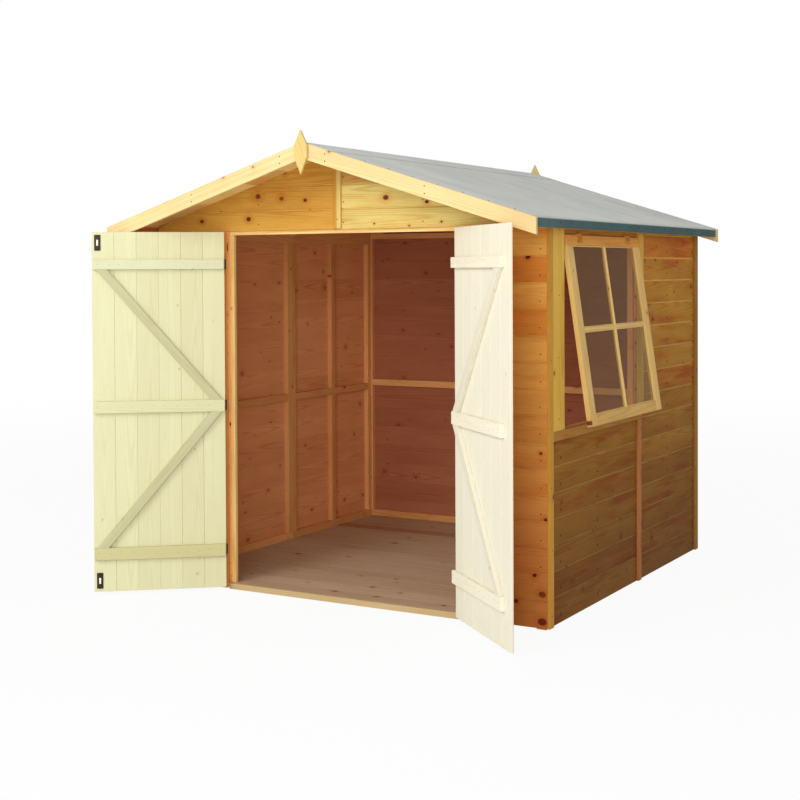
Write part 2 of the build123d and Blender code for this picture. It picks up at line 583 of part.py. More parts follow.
def slide_bolt(z):
    """A plate with two keeps and a rod on the back of the leaf near its free edge."""
    x0 = LEAF_FREE_EDGE + BOLT_EDGE_INSET
    x_mid = x0 + BOLT_PLATE_WIDTH / 2
    back = BOARD_BACK + BOLT_PLATE_THICKNESS
    shape = block((x0, x0 + BOLT_PLATE_WIDTH), (BOARD_BACK, back), (z, z + BOLT_PLATE_HEIGHT))
    lows = Align.CENTER, Align.CENTER, Align.MIN
    y_mid = BOARD_BACK + BOLT_ROD_RADIUS
    shape += Pos(x_mid, y_mid, z) * Cylinder(BOLT_ROD_RADIUS, BOLT_PLATE_HEIGHT, align=lows)
    half = BOLT_ROD_RADIUS + BOLT_PLATE_THICKNESS
    last = z + BOLT_PLATE_HEIGHT - BOLT_KEEP_INSET - BOLT_KEEP_HEIGHT
    for z0 in (z + BOLT_KEEP_INSET, last):
        shape += block((x_mid - half, x_mid + half), (back, y_mid + half), (z0, z0 + BOLT_KEEP_HEIGHT))
    return shape


def doors():
    """Two ledged and braced leaves on T-hinges, swung out as they stand at rest."""
    centres = [z + high / 2 for z, high in zip(LEDGE_HEIGHTS, LEDGE_DEPTHS)]
    plates = [hinge_plate(z) for z in centres]
    node("door_hinge_plates", *plates, *[mirrored(plate) for plate in plates])
    for side, swing, stop in (("left", closed_left, LEDGE_INSET), ("right", closed_right, RIGHT_LEDGE_STOP)):
        node(f"{side}_door_boards", swing(leaf_boards()))
        node(f"{side}_door_ledges", *[swing(ledge) for ledge in ledges(stop)])
        node(f"{side}_door_braces", *[swing(part) for part in braces(stop)])
        node(f"{side}_door_straps", *[swing(hinge_strap(z)) for z in centres])
    low = FLOOR_TOP + BOLT_FLOOR_GAP
    high = LEAF_TOP - BOLT_TOP_INSET - BOLT_PLATE_HEIGHT
    node("left_door_bolts", *[closed_left(slide_bolt(z)) for z in (low, high)])


def main():
    os.makedirs("parts", exist_ok=True)
    floor()
    cladding()
    end_wall_frames()
    side_wall_frames()
    roof()
    bargeboards()
    trims()
    window()
    doors()


main()
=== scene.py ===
"""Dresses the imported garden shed: boards, joinery, felt, window, doors, ironmongery and stage."""
import json
import math

import bpy
import numpy as np
from bpy.props import FloatProperty, FloatVectorProperty, IntProperty, PointerProperty
from mathutils import Matrix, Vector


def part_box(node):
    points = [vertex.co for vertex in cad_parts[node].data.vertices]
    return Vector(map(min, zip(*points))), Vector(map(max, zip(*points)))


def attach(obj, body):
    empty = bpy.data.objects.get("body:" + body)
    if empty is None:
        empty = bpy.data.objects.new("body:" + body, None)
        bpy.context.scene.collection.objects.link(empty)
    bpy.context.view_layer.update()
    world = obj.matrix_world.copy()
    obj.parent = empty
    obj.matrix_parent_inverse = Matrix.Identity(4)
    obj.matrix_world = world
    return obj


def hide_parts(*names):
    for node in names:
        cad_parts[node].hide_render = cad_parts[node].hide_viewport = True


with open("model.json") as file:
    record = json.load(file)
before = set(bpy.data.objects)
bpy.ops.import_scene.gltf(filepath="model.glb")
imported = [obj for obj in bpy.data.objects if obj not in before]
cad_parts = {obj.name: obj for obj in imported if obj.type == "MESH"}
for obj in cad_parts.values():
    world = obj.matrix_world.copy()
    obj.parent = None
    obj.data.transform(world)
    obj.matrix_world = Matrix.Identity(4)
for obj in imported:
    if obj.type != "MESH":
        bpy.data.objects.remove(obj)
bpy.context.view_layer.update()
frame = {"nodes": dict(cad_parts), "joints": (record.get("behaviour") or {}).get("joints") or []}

bl_info = {
    "name": "Apex garden shed",
    "version": (1, 0, 0),
    "blender": (4, 5, 0),
    "location": "3D View > Sidebar > Shed",
    "description": "Builds a boarded garden shed with double doors and a top-hung window",
    "category": "Add Mesh",
}

UP = np.array([0.0, 0.0, 1.0])
ALONG_X = np.array([1.0, 0.0, 0.0])
ALONG_Y = np.array([0.0, 1.0, 0.0])
WALLS = {"right": ALONG_X, "left": -ALONG_X, "front": -ALONG_Y, "back": ALONG_Y}
SIDES = {"left": -1.0, "right": 1.0}
SKINS = {"left": ["left_cladding"], "front": ["front_cladding"], "back": ["back_cladding"],
         "right": ["right_cladding", "window_side_cladding", "window_head_cladding"]}
TRIMS = ("corner_trims", "joint_strips", "window_jambs", "door_posts", "front_gable_strip")
MADE = {}    # materials by the name their pieces ask for

# Tints that lie over a timber's own colour, as the shader needs them
RUDDY = (0.85, 0.46, 0.27, 1.0)
RING = (0.72, 0.48, 0.24, 1.0)
HALO = (0.8, 0.42, 0.22, 1.0)
FIBRE = (0.3, 0.2, 0.1, 1.0)
STAIN = (0.24, 0.12, 0.05)        # as it looks on screen
WHITE = (1.0, 1.0, 1.0, 1.0)

# Measures of the grain and the stains, in metres
RING_PITCH = 0.0056               # between two growth rings
KNOT_CELLS = (3.3, 8.5)           # knots to a metre along and across a board
KNOT_RADIUS = 0.0032              # of the smallest knot
KNOT_GROWTH = 0.0085              # what the largest adds to it
LOW_KNOTS = (0.45, 0.75)          # heights between which the added knots thin out
FOOT_SHADE = (0.1, 1.75)          # heights between which the shade at the foot fades
LAP_DEPTHS = (0.0085, 0.0119)     # between which the light on the scooped tops ends
STAIN_REACH = (0.003, 0.01)       # from a nail, between which its mark fades
FACE_BLEND = 0.0013               # over which the inner face's colour gives way to the outer one

# Measures of the boards, the felt and the sash
LEAST_FOOT = 0.02                 # height of the narrowest board at the foot of a wall
LEAST_TOP = 0.015                 # height of the narrowest board at its head
LEAST_REACH = 0.004               # of a gable's topmost board from the ridge
CAP_LIFT = 0.8                    # of the felt's thickness, by which the strip lies over it
TIGHT = 0.004                     # between an edge of the felt and the line that keeps it crisp
SETTLED = 0.2                     # of the felt that lies flat along the front and back edges
WAVES = (9.0, 5.3, 13.7, 4.1)     # of the felt's slow swell, in radians to a metre
GLASS_FACE = 0.0016               # of the pane's outer face from its middle
BEAD_SHARE = 0.7                  # of a bead's width, by which it stands out

# Heads as radius and height, both as shares of the radius, and where they go
NAIL = ((1.0, -0.25), (1.0, 0.12), (0.72, 0.3), (0.3, 0.36))
SCREW = ((1.0, -0.2), (1.0, 0.1), (0.8, 0.34), (0.34, 0.46), (0.26, 0.14))
CLOUT = ((1.0, -0.1), (1.0, 0.1), (0.8, 0.2), (0.3, 0.24))
NAIL_RISE = 0.03                  # of a wall nail above the foot of its board
END_CLEAR = 0.008                 # between a wall nail and the ends of its board
COVER_CLEAR = (0.003, 0.004)      # round a timber that hides wall nails, along the wall and out of it
ROOF_CLEAR = 0.02                 # between a gable's nails and its sloping edges
LEAST_BOARD = 0.05                # height of the narrowest board that is nailed
GABLE_LINES = (-0.45, -0.012, 0.028, 0.45)    # of nails across a gable
OUTER_STUDS = 0.9                 # from the middle of an end wall, beyond which its studs carry the gable
BARGE_DROPS = (0.02, 0.052)       # of a bargeboard's nails below its top
TRIM_ENDS = (0.04, 0.05)          # from a trim's foot and head to its first and last nails
LEAF_EDGE = 0.022                 # between a door board's edge and its nails
LEAF_SHARE = 0.45                 # of a wall nail's radius, for a door's nails
WALL_SCATTER = (0.0025, 0.002)    # of wall nails, sideways and in height
TRIM_SCATTER = (0.003, 0.01)      # of trim nails, sideways and in height
LEAF_SCATTER = (0.002, 0.004, 0.006)    # of door nails, sideways, in height and between faces
ROD_SHARE = 0.38                  # of a bolt's height, between its two keeps
STRAP_EYE = 0.02                  # from a strap's outer end to where its shares start
STRAP_SCREWS = ((0.06, 0.0095), (0.3, 0.0), (0.55, 0.0), (0.8, 0.0))    # share of its length, spread
PLATE_SCREW = 0.011               # from a plate's outer edge to its screws
PLATE_SHARES = (0.12, 0.32, 0.68, 0.88)    # of a plate's height, at its screws

# The stage
LAMPS = (("key_lamp", "key", (-1.6, -8.0, 5.2)), ("fill_lamp", "fill", (2.8, -7.5, 2.2)))
LAMP_WIDTH = 4.0
LAMP_COLOUR = (1.0, 0.985, 0.96)
LIT_POINT = (0.0, -0.6, 0.9)
FLOOR_REACH = 30.0


# ------------------------------------------------------------------ settings
def length(name, description, default):
    """A size in metres that a user can change."""
    return FloatProperty(name=name, description=description, default=default, min=0.0,
                         unit="LENGTH", subtype="DISTANCE", precision=4)


def tint(name, description, red, green, blue):
    """A colour that a user can change, given as it looks on screen, 0 to 255."""
    return FloatVectorProperty(name=name, description=description, subtype="COLOR_GAMMA", size=3,
                               min=0.0, max=1.0, default=(red / 255, green / 255, blue / 255))


def angle(name, description, default):
    """An angle in radians that a user can change."""
    return FloatProperty(name=name, description=description, default=default, subtype="ANGLE")


def amount(name, description, default, **more):
    """A plain number that a user can change."""
    return FloatProperty(name=name, description=description, default=default, **more)


class ShedBoards(bpy.types.PropertyGroup):
    """Sizes of the boards that cover the frame."""
    row_height: length("Row height", "Height that one shiplap board shows", 0.1138)
    first_joint: length("First joint", "Height of the lowest joint between wall boards", 0.1308)
    cove_height: length("Cove height", "Height of the scooped top of a wall board", 0.009)
    cove_depth: length("Cove depth", "Depth of the scooped top of a wall board", 0.006)
    floor_board: length("Floor board", "Width of a floor board", 0.112)
    deck_board: length("Roof board", "Width of a roof board", 0.1)
    door_board: length("Door board", "Width of a door board", 0.102)
    finial_width: length("Finial width", "Width of the pointed boards on the gables", 0.07)
    back_barge: length("Back oversail", "How far the back bargeboards pass the felt", 0.01)
    joint_gap: length("Joint gap", "Gap that shows between two matched boards", 0.0004)
    edge_round: length("Edge rounding", "Width of the rounded edges of timber", 0.0013)


class ShedWindow(bpy.types.PropertyGroup):
    """Sizes of the glazing bars and beads."""
    bar_width: length("Glazing bar width", "Width of a glazing bar", 0.016)
    bar_stand: length("Glazing bar stand", "How far a bar stands out of the glass", 0.0085)
    bead: length("Bead", "Thickness of the beads that hold the glass", 0.006)


class ShedFixings(bpy.types.PropertyGroup):
    """Sizes of nails and screws."""
    nail_radius: length("Nail radius", "Radius of the nail heads in boards and trims", 0.003)
    clout_radius: length("Clout radius", "Radius of the flat nails that hold the felt", 0.004)
    clout_spacing: length("Clout spacing", "Distance between the nails of the felt", 0.12)
    trim_spacing: length("Trim nail spacing", "Distance between the nails of a trim", 0.3)
    barge_spacing: length("Bargeboard nail spacing", "Distance between the nails of a bargeboard", 0.5)
    rod_radius: length("Bolt rod radius", "Radius of the bright rods of the bolts", 0.0048)
    screw_radius: length("Screw radius", "Radius of the screw heads in the ironmongery", 0.0042)


class ShedFelt(bpy.types.PropertyGroup):
    """Sizes of the roofing felt."""
    thickness: length("Thickness", "Thickness of the felt", 0.0026)
    cap_width: length("Cap width", "Width of the strip over the ridge", 0.3)
    fold: length("Fold", "Radius of the fold at the eaves", 0.01)
    unevenness: length("Unevenness", "How far the felt sinks in places", 0.0008)


class ShedColours(bpy.types.PropertyGroup):
    """Colours of the timbers, as they look on screen."""
    gable: tint("Gable boards", "Boards over the doors", 216, 164, 66)
    gable_right: tint("Right gable boards", "Paler boards right of the ridge", 236, 220, 134)
    front: tint("Front boards", "Boards beside the doors", 255, 196, 92)
    # The side and back boards are the same timber as the front ones; their darker, more olive colour is
    # painted shade
    side: tint("Side boards", "Boards of the side and back walls", 224, 164, 50)
    inside: tint("Inside of the boards", "Inner faces of the wall boards", 250, 180, 126)
    # painted shade: the back wall's inner face is a darker copy of the other inner faces
    shaded_inside_back: tint("Inside of the back", "Inner face of the back wall", 184, 114, 84)
    knot: tint("Knots", "Knots in the treated boards", 100, 26, 10)
    barge: tint("Bargeboards", "Bargeboards on the gables", 244, 220, 162)
    finial: tint("Finials", "Pointed boards on the gables", 226, 204, 130)
    header: tint("Door stops", "Stops round the doorway", 255, 220, 146)
    post: tint("Door posts", "Posts that carry the doors", 255, 198, 118)
    corner: tint("Corner strips", "Strips at the corners", 232, 176, 72)
    corner_back: tint("Back corner strips", "Strips at the back corners", 172, 122, 48)
    jamb: tint("Window jambs", "Jambs and sill of the window", 238, 194, 84)
    sill: tint("Window sill", "Sill of the window", 206, 152, 72)
    strip: tint("Joint strips", "Strips over the joints of the side walls", 192, 122, 72)
    left_leaf: tint("Left door", "Inner face of the left door", 221, 221, 181)
    # painted highlight: the right door's inner face, ledges and braces are whiter than the left door's, on
    # the same boards
    right_leaf: tint("Right door", "Inner face of the right door", 235, 232, 214)
    door_outside: tint("Door outside", "Outer faces of the doors", 226, 166, 84)
    left_ledge: tint("Left ledges", "Ledges of the left door", 221, 226, 192)
    right_ledge: tint("Right ledges", "Ledges of the right door", 240, 236, 216)
    left_brace: tint("Left braces", "Braces of the left door", 200, 200, 160)
    right_brace: tint("Right braces", "Braces of the right door", 228, 224, 206)
    floor: tint("Floor", "Floor boards", 206, 182, 156)
    threshold: tint("Threshold", "Board along the foot of the doorway", 207, 184, 140)
    framing: tint("Framing", "Studs, rails and rafters", 248, 186, 120)
    sash: tint("Sash", "Stiles and bars of the window", 252, 218, 140)
    # partly painted shade: the upper rail's darker orange comes from the eaves' shadow as well as its own
    # tone
    rail: tint("Sash rails", "Rails of the window", 238, 170, 80)
    low_rail: tint("Lower sash rail", "Rail at the foot of the window", 244, 204, 124)
    # painted light: the roof boards and rafters are a paler copy of the framing timber, so that the underside
    # of the roof looks lit
    soffit: tint("Roof boards", "Boards and rafters under the felt", 255, 222, 140)
    # The felt is grey-green: the pale grey of its top holds painted sheen, and the dark teal of its edge
    # below is painted shade
    felt: tint("Felt", "Roofing felt", 210, 212, 206)
    shaded_felt_edge: tint("Felt edge", "Felt turned down at the eaves", 82, 110, 109)
    iron: tint("Ironmongery", "Hinges of the doors", 26, 26, 26)
    bolt: tint("Bolts", "Bolts of the left door", 34, 24, 14)
    steel: tint("Bolt rods", "Bright rods of the bolts", 226, 220, 196)
    zinc: tint("Window hinges", "Hinges and stay of the window", 170, 112, 40)
    glass: tint("Glass", "Dust on the pane of the window", 116, 94, 36)


class ShedStage(bpy.types.PropertyGroup):
    """Camera, lamps and floor."""
    camera_place: FloatVectorProperty(name="Camera place", description="Where the camera stands",
                                      subtype="TRANSLATION", size=3, default=(3.5071, -6.5508, 1.5534))
    camera_turn: angle("Camera turn", "Turn to the left of straight ahead", 0.5205)
    camera_tilt: angle("Camera tilt", "Tilt below the horizon", 0.0197)
    camera_roll: angle("Camera roll", "Roll of the camera", -0.0045)
    focal_length: amount("Focal length", "Focal length of the lens", 63.67, unit="CAMERA")
    frame_shift: amount("Shift", "Upward shift of the lens", -0.1284)
    sky: amount("Sky light", "Strength of the even light", 0.55)
    key: amount("Key light", "Power of the lamp on the left", 275.0)
    fill: amount("Fill light", "Power of the lamp by the camera", 205.0)
    floor_white: amount("Floor white", "How white the camera sees the floor", 0.93, min=0.0, max=1.0)
    floor_fade: FloatVectorProperty(name="Floor fade", unit="LENGTH", size=2, default=(3.0, 12.0),
                                    description="Distances over which the floor turns white")


GROUPS = (("boards", ShedBoards), ("window", ShedWindow), ("fixings", ShedFixings),
          ("felt", ShedFelt), ("colours", ShedColours), ("stage", ShedStage))


class ShedSettings(bpy.types.PropertyGroup):
    """Everything a user can change on the shed."""
    boards: PointerProperty(type=ShedBoards)
    window: PointerProperty(type=ShedWindow)
    fixings: PointerProperty(type=ShedFixings)
    felt: PointerProperty(type=ShedFelt)
    colours: PointerProperty(type=ShedColours)
    stage: PointerProperty(type=ShedStage)
    seed: IntProperty(name="Seed", description="Changes which boards are lighter or darker", default=4)


def settings():
    """The shed's settings in this file."""
    return bpy.context.scene.shed_settings


def linear(colour):
    """A screen colour as the shader needs it."""
    c = np.array(colour[:3], float)
    return tuple(np.where(c <= 0.04045, c / 12.92, ((c + 0.055) / 1.055) ** 2.4)) + (1.0,)


def blended(colour, other, share):
    """A colour that lies between two screen colours."""
    return tuple(np.array(colour[:3]) * (1 - share) + np.array(other[:3]) * share)


# ------------------------------------------------------------------ shader maths
class Value:
    """A number that varies over a surface; arithmetic on it adds Math nodes."""

    def __init__(self, graph, socket):
        self.graph = graph
        self.socket = socket

    def maths(self, operation, *others):
        """This value and others put through one Math node."""
        terms = dict(enumerate((self, *others)))
        return self.graph.value("ShaderNodeMath", {"operation": operation}, terms)

    def __add__(self, other):
        return self.maths("ADD", other)

    __radd__ = __add__

    def __mul__(self, other):
        return self.maths("MULTIPLY", other)

    __rmul__ = __mul__

    def __sub__(self, other):
        return self.maths("SUBTRACT", other)

    def __rsub__(self, other):
        return (self * -1.0) + other

    def __truediv__(self, other):
        return self.maths("DIVIDE", other)

    def __pow__(self, other):
        return self.maths("POWER", other)

    def sine(self):
        return self.maths("SINE")

    def root(self):
        return self.maths("SQRT")

    def above(self, level):
        return self.maths("GREATER_THAN", level)

    def ramp(self, low, high):
        """0 below low, 1 above high, and a smooth rise between them."""
        inputs = {0: self, 1: low, 2: high, 3: 0.0, 4: 1.0}
        kind = {"interpolation_type": "SMOOTHSTEP", "clamp": True}
        return self.graph.value("ShaderNodeMapRange", kind, inputs)


class Graph:
    """The node tree of one new material or world."""

    def __init__(self, name, kind="materials"):
        self.owner = getattr(bpy.data, kind).new(name)
        self.owner.use_nodes = True
        self.tree = self.owner.node_tree
        self.tree.nodes.clear()

    def node(self, kind, choices=None, inputs=None):
        """A node of any kind: its choices are set first, then its sockets' values or links."""
        made = self.tree.nodes.new(kind)
        for key, choice in (choices or {}).items():
            setattr(made, key, choice)
        for key, given in (inputs or {}).items():
            if isinstance(given, Value):
                self.tree.links.new(given.socket, made.inputs[key])
            else:
                made.inputs[key].default_value = given
        return made

    def value(self, kind, choices=None, inputs=None, output=0):
        """One output of a new node, ready for arithmetic."""
        return Value(self, self.node(kind, choices, inputs).outputs[output])

    def mix(self, share, first, second, how="MIX"):
        """One colour laid over another by a share from 0 to 1."""
        choices = {"data_type": "RGBA", "blend_type": how, "clamp_factor": True}
        return self.value("ShaderNodeMix", choices, {0: share, 6: first, 7: second}, 2)

    def vector(self, x, y, z):
        return self.value("ShaderNodeCombineXYZ", None, {0: x, 1: y, 2: z})

    def parts(self, vector):
        """The three numbers of a vector."""
        split = self.node("ShaderNodeSeparateXYZ", None, {0: vector})
        return [Value(self, split.outputs[i]) for i in range(3)]

    def attribute(self, name):
        return self.value("ShaderNodeAttribute", {"attribute_name": name}, None, 1)

    def noise(self, vector, scale=1.0, detail=2.0, roughness=0.5):
        """Smooth random number from 0 to 1 over space."""
        inputs = {"Vector": vector, "Scale": scale, "Detail": detail, "Roughness": roughness}
        return self.value("ShaderNodeTexNoise", None, inputs)

    def bump(self, height, distance, strength=1.0):
        inputs = {"Height": height, "Distance": distance, "Strength": strength}
        return self.value("ShaderNodeBump", None, inputs)

    def surface(self, **sockets):
        """A Principled shader with these sockets, as the material's surface."""
        named = {key.replace("_", " "): given for key, given in sockets.items()}
        shader = self.value("ShaderNodeBsdfPrincipled", None, named)
        self.node("ShaderNodeOutputMaterial", None, {"Surface": shader})
        return self.owner


def object_place(graph):
    """Place on the piece in metres."""
    return graph.value("ShaderNodeTexCoord", None, None, 3)


def two_tones(graph, colour, share, spread):
    """A board colour that runs from a lighter to a darker tone of itself by a share."""
    light = np.clip(blended(colour, (1.0, 0.93, 0.72), spread * 0.5), 0, 1)
    dark = np.array(colour[:3]) * (1.0 - spread * np.array([0.8, 1.1, 1.35]))
    return graph.mix(share, linear(light), linear(dark))


def knot_pattern(graph, run, side, wave, chances, crowd, scale):
    """Knots in the cells of a Voronoi pattern, where a cell's random number passes a chance.

    Gives the knot and the halo round it from 0 to 1, the distance from its middle and its tone.
    """
    share, extra = chances
    per_run, per_side = KNOT_CELLS[0] * crowd, KNOT_CELLS[1]
    cells = graph.node("ShaderNodeTexVoronoi", {"voronoi_dimensions": "2D", "feature": "F1"},
                       {"Vector": graph.vector(run * per_run, side * per_side, 0.0), "Scale": 1.0,
                        "Randomness": 0.85})
    middle_run, middle_side, _ = graph.parts(Value(graph, cells.outputs["Position"]))
    chance, size, tone = graph.parts(Value(graph, cells.outputs["Color"]))
    off_run = (run * per_run - middle_run) / per_run
    off_side = (side * per_side - middle_side) / per_side
    reach = (off_run * off_run * 0.6 + off_side * off_side + 1e-7).root() * (1.0 + wave * 0.5)
    present = (chance + extra).above(1.0 - share)
    near = reach / ((size * size * KNOT_GROWTH + KNOT_RADIUS) * scale)
    knot = present * (1.0 - near.ramp(0.72, 1.15))
    halo = present * (1.0 - near.ramp(0.9, 3.4))
    return knot, halo, reach, tone


def timber_finish(name, colour, spread=0.2, knots=0.55, knot_size=1.0, rings=0.5, pale=0.0, red=0.25,
                  inner=None, inner_spread=0.12, inner_depth=0.0045, low=None, even=0.75, streaks=0.0,
                  lit_lap=0.0, crowd=1.0, low_knots=0.0, stained=False, beyond=None):
    """Softwood: growth rings round a far centre, bent round knots, fibres and board-to-board tone.

    The rings are a sine of the distance from the log's centre line, which drifts slowly along the
    board.  Spread and even say how much boards differ and how evenly, knots how many cells hold
    one, pale how faint the grain is and red how many boards are ruddy.  Streaks are long ruddy
    patches, lit_lap paints a highlight on the scooped tops of wall boards, crowd sets the knots closer
    along the board, and low_knots adds some near the ground.  The inner face may have a colour and a
    spread of its own down to inner_depth.  Low is the painted shade that the foot of the shed takes,
    stained marks the nails, and beyond is an axis, a place on it and the colour of all that lies past it.
    """
    graph = Graph(name)
    along, across, depth = graph.parts(graph.attribute("grain"))
    p, q, r = graph.parts(graph.attribute("tone"))
    place = graph.parts(object_place(graph))
    run = along + p * 9.0
    side = across + q * 5.0
    drift = graph.noise(graph.vector(run * 1.1, side * 4.0, r * 8.0)) - 0.5
    wave = graph.noise(graph.vector(run * 5.0, side * 26.0, r * 30.0 + depth * 8.0)) - 0.5
    chances = knots, (1.0 - place[2].ramp(*LOW_KNOTS)) * low_knots
    knot, halo, reach, tone = knot_pattern(graph, run, side, wave, chances, crowd, knot_size)

    centre = across + (q - 0.5) * 0.08 + drift * 0.05
    below = depth + 0.012 + r * 0.05
    from_pith = (centre * centre + below * below).root() + wave * 0.0035 + along * (p - 0.5) * 0.05
    bent = from_pith + halo * 0.006 + knot * reach * 1.2
    late = ((bent * (2 * math.pi / RING_PITCH)).sine() * 0.5 + 0.5) ** 3.0
    fibre = graph.noise(graph.vector(run * 22.0, side * 640.0, depth * 640.0), detail=3.0)
    blotch = graph.noise(graph.vector(run * 2.2, side * 9.0, r * 20.0), detail=3.0, roughness=0.6)

    share = p * even + (blotch - 0.5) * 1.1 + 0.48 - even / 2
    shade = two_tones(graph, colour, share, spread)
    if beyond is not None:
        axis, start, other = beyond
        shade = graph.mix(place[axis].above(start), shade, two_tones(graph, other, share, spread))
    shade = graph.mix(q.ramp(1.0 - red, 1.0) * 0.75, shade, RUDDY, "MULTIPLY")
    if streaks:
        patch = graph.noise(graph.vector(run * 1.7, side * 13.0, r * 9.0), detail=4.0, roughness=0.6)
        shade = graph.mix(patch.ramp(0.48, 0.7) * streaks, shade, RUDDY, "MULTIPLY")
    # painted highlight on the scooped tops of the wall boards, where they catch the light
    if lit_lap:
        lap = linear(blended(colour, (1.0, 0.86, 0.5), 0.7))
        shade = graph.mix((1.0 - depth.ramp(*LAP_DEPTHS)) * lit_lap, shade, lap)
    # painted shade, darker towards the foot of the shed
    if low is not None:
        shade = graph.mix(1.0 - place[2].ramp(*FOOT_SHADE), shade, (*low, 1.0), "MULTIPLY")
    if stained:
        shade = nail_stains(graph, place, shade)
    faint = 1.0 - pale * 0.6
    if inner is not None:
        outside = depth.ramp(inner_depth, inner_depth + FACE_BLEND)
        shade = graph.mix(outside, two_tones(graph, inner, share, inner_spread), shade)
        faint = faint * (0.55 + outside * 0.45)
    shade = graph.mix(late * rings * (0.55 + blotch * 0.5), shade, RING, "MULTIPLY")
    shade = graph.mix(halo * 0.42 * faint, shade, HALO, "MULTIPLY")
    shade = graph.mix(knot * (0.72 + tone * 0.26) * faint, shade, linear(settings().colours.knot))
    shade = graph.mix(fibre.ramp(0.35, 0.75) * 0.14 * faint, shade, FIBRE, "MULTIPLY")

    rough = 0.66 + late * 0.08 + (fibre - 0.5) * 0.12 - knot * 0.12
    height = fibre * 0.45 - late * 0.35 + knot * 0.8 - halo * 0.2
    return graph.surface(Base_Color=shade, Roughness=rough, Specular_IOR_Level=0.1,
                         Normal=graph.bump(height, 0.0006, 0.55))


def stud_lines(node, axis):
    """On which side of an axis every stud of a node stands, and its place along the wall."""
    found = [limits(part) for part in solids(node)]
    return sorted({(1.0 if low[axis] > 0 else -1.0, round((low[1 - axis] + high[1 - axis]) / 2, 4))
                   for low, high in found})


def nail_stains(graph, place, shade):
    """Dark marks round the nails of the side walls, at one height on every board."""
    boards = settings().boards
    rise = (place[2] - (boards.first_joint + NAIL_RISE)).maths("PINGPONG", boards.row_height / 2)
    for sign, line in stud_lines("side_wall_studs", 0):
        off = place[1] - line
        mark = 1.0 - (off * off + rise * rise).root().ramp(*STAIN_REACH)
        wall = (place[0] * sign).above(0.9)
        shade = graph.mix(mark * wall * 0.8, shade, linear(STAIN))
    return shade


def felt_finish():
    """Mineral felt: fine pale granules and soft stains on the felt's grey-green, with painted sheen on the
    top and painted shade on the hem at the eaves.
    """
    graph = Graph("roofing_felt")
    colours = settings().colours
    place = object_place(graph)
    height = graph.parts(place)[2]
    fine = graph.noise(place, 900.0, 2.0, 0.6)
    speck = graph.noise(place, 260.0, 1.0)
    cloud = graph.noise(place, 2.6, 4.0, 0.6)
    drawn = graph.vector(*[part * scale for part, scale in zip(graph.parts(place), (1.5, 9.0, 1.5))])
    streak = graph.noise(drawn, 1.0, 3.0)
    grey = np.array(colours.felt[:3])
    shade = graph.mix((cloud - 0.5) * 1.4 + streak * 0.5, linear(grey * 1.05), linear(grey * 0.9))
    shade = graph.mix(fine.ramp(0.5, 0.72) * 0.35, shade, linear(np.minimum(grey * 1.22, 1.0)))
    shade = graph.mix(speck.ramp(0.58, 0.7) * 0.3, shade, linear(grey * 0.62))
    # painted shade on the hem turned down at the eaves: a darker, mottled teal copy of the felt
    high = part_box("right_roof_felt")[1]
    fold = high[2] - high[0] * slope()
    under = 1.0 - height.ramp(fold - 0.011, fold - 0.004)
    edge = np.array(colours.shaded_felt_edge[:3])
    mottle = fine.ramp(0.4, 0.7) * 0.4 + (cloud - 0.3) * 0.8
    shade = graph.mix(under, shade, graph.mix(mottle, linear(edge * 0.82), linear(edge * 1.3)))
    return graph.surface(Base_Color=shade, Roughness=0.9 + fine * 0.08, Specular_IOR_Level=0.15,
                         Normal=graph.bump(fine * 0.7 + speck * 0.5 + cloud * 0.6, 0.0009, 0.6))


def iron_finish(name, colour, metal=0.45, gloss=0.5):
    """Dark enamel or plating over iron, worn thin in patches."""
    graph = Graph(name)
    place = object_place(graph)
    wear = graph.noise(place, 60.0, 4.0, 0.65)
    grit = graph.noise(place, 700.0, 2.0)
    colour = np.array(colour[:3])
    shade = graph.mix(wear.ramp(0.35, 0.7) * 0.7, linear(colour), linear(colour * 1.5))
    shade = graph.mix(wear.ramp(0.66, 0.8) * 0.5, shade, linear((0.33, 0.24, 0.18)))
    return graph.surface(Base_Color=shade, Roughness=0.61 - gloss * 0.5 + wear * 0.22, Metallic=metal,
                         Specular_IOR_Level=gloss, Normal=graph.bump(grit + wear, 0.0003, 0.5))


def nail_finish():
    """Galvanised nail heads, dulled and a little rusty round some of them."""
    graph = Graph("nail_heads")
    place = object_place(graph)
    patch = graph.noise(place, 9.0, 2.0)
    shade = graph.mix(patch.ramp(0.42, 0.6), linear((0.16, 0.09, 0.05)), linear((0.32, 0.23, 0.16)))
    return graph.surface(Base_Color=shade, Roughness=0.6 + patch * 0.2, Metallic=0.1,
                         Specular_IOR_Level=0.2,
                         Normal=graph.bump(graph.noise(place, 500.0), 0.0002, 0.4))


def glass_finish():
    """Thin clear glazing: nearly all passes through, with dust that gathers in clouds."""
    graph = Graph("window_glass")
    place = object_place(graph)
    dust = graph.noise(place, 5.0, 4.0, 0.6)
    tone = np.array(settings().colours.glass[:3])
    shade = graph.mix(dust.ramp(0.4, 0.75) * 0.5, linear(tone), linear(tone * 0.8))
    return graph.surface(Base_Color=shade, Roughness=0.05 + dust * 0.05, Alpha=0.12 + dust * 0.2,
                         Specular_IOR_Level=0.1,
                         Normal=graph.bump(graph.noise(place, 7.0, 1.0), 0.001, 0.12))


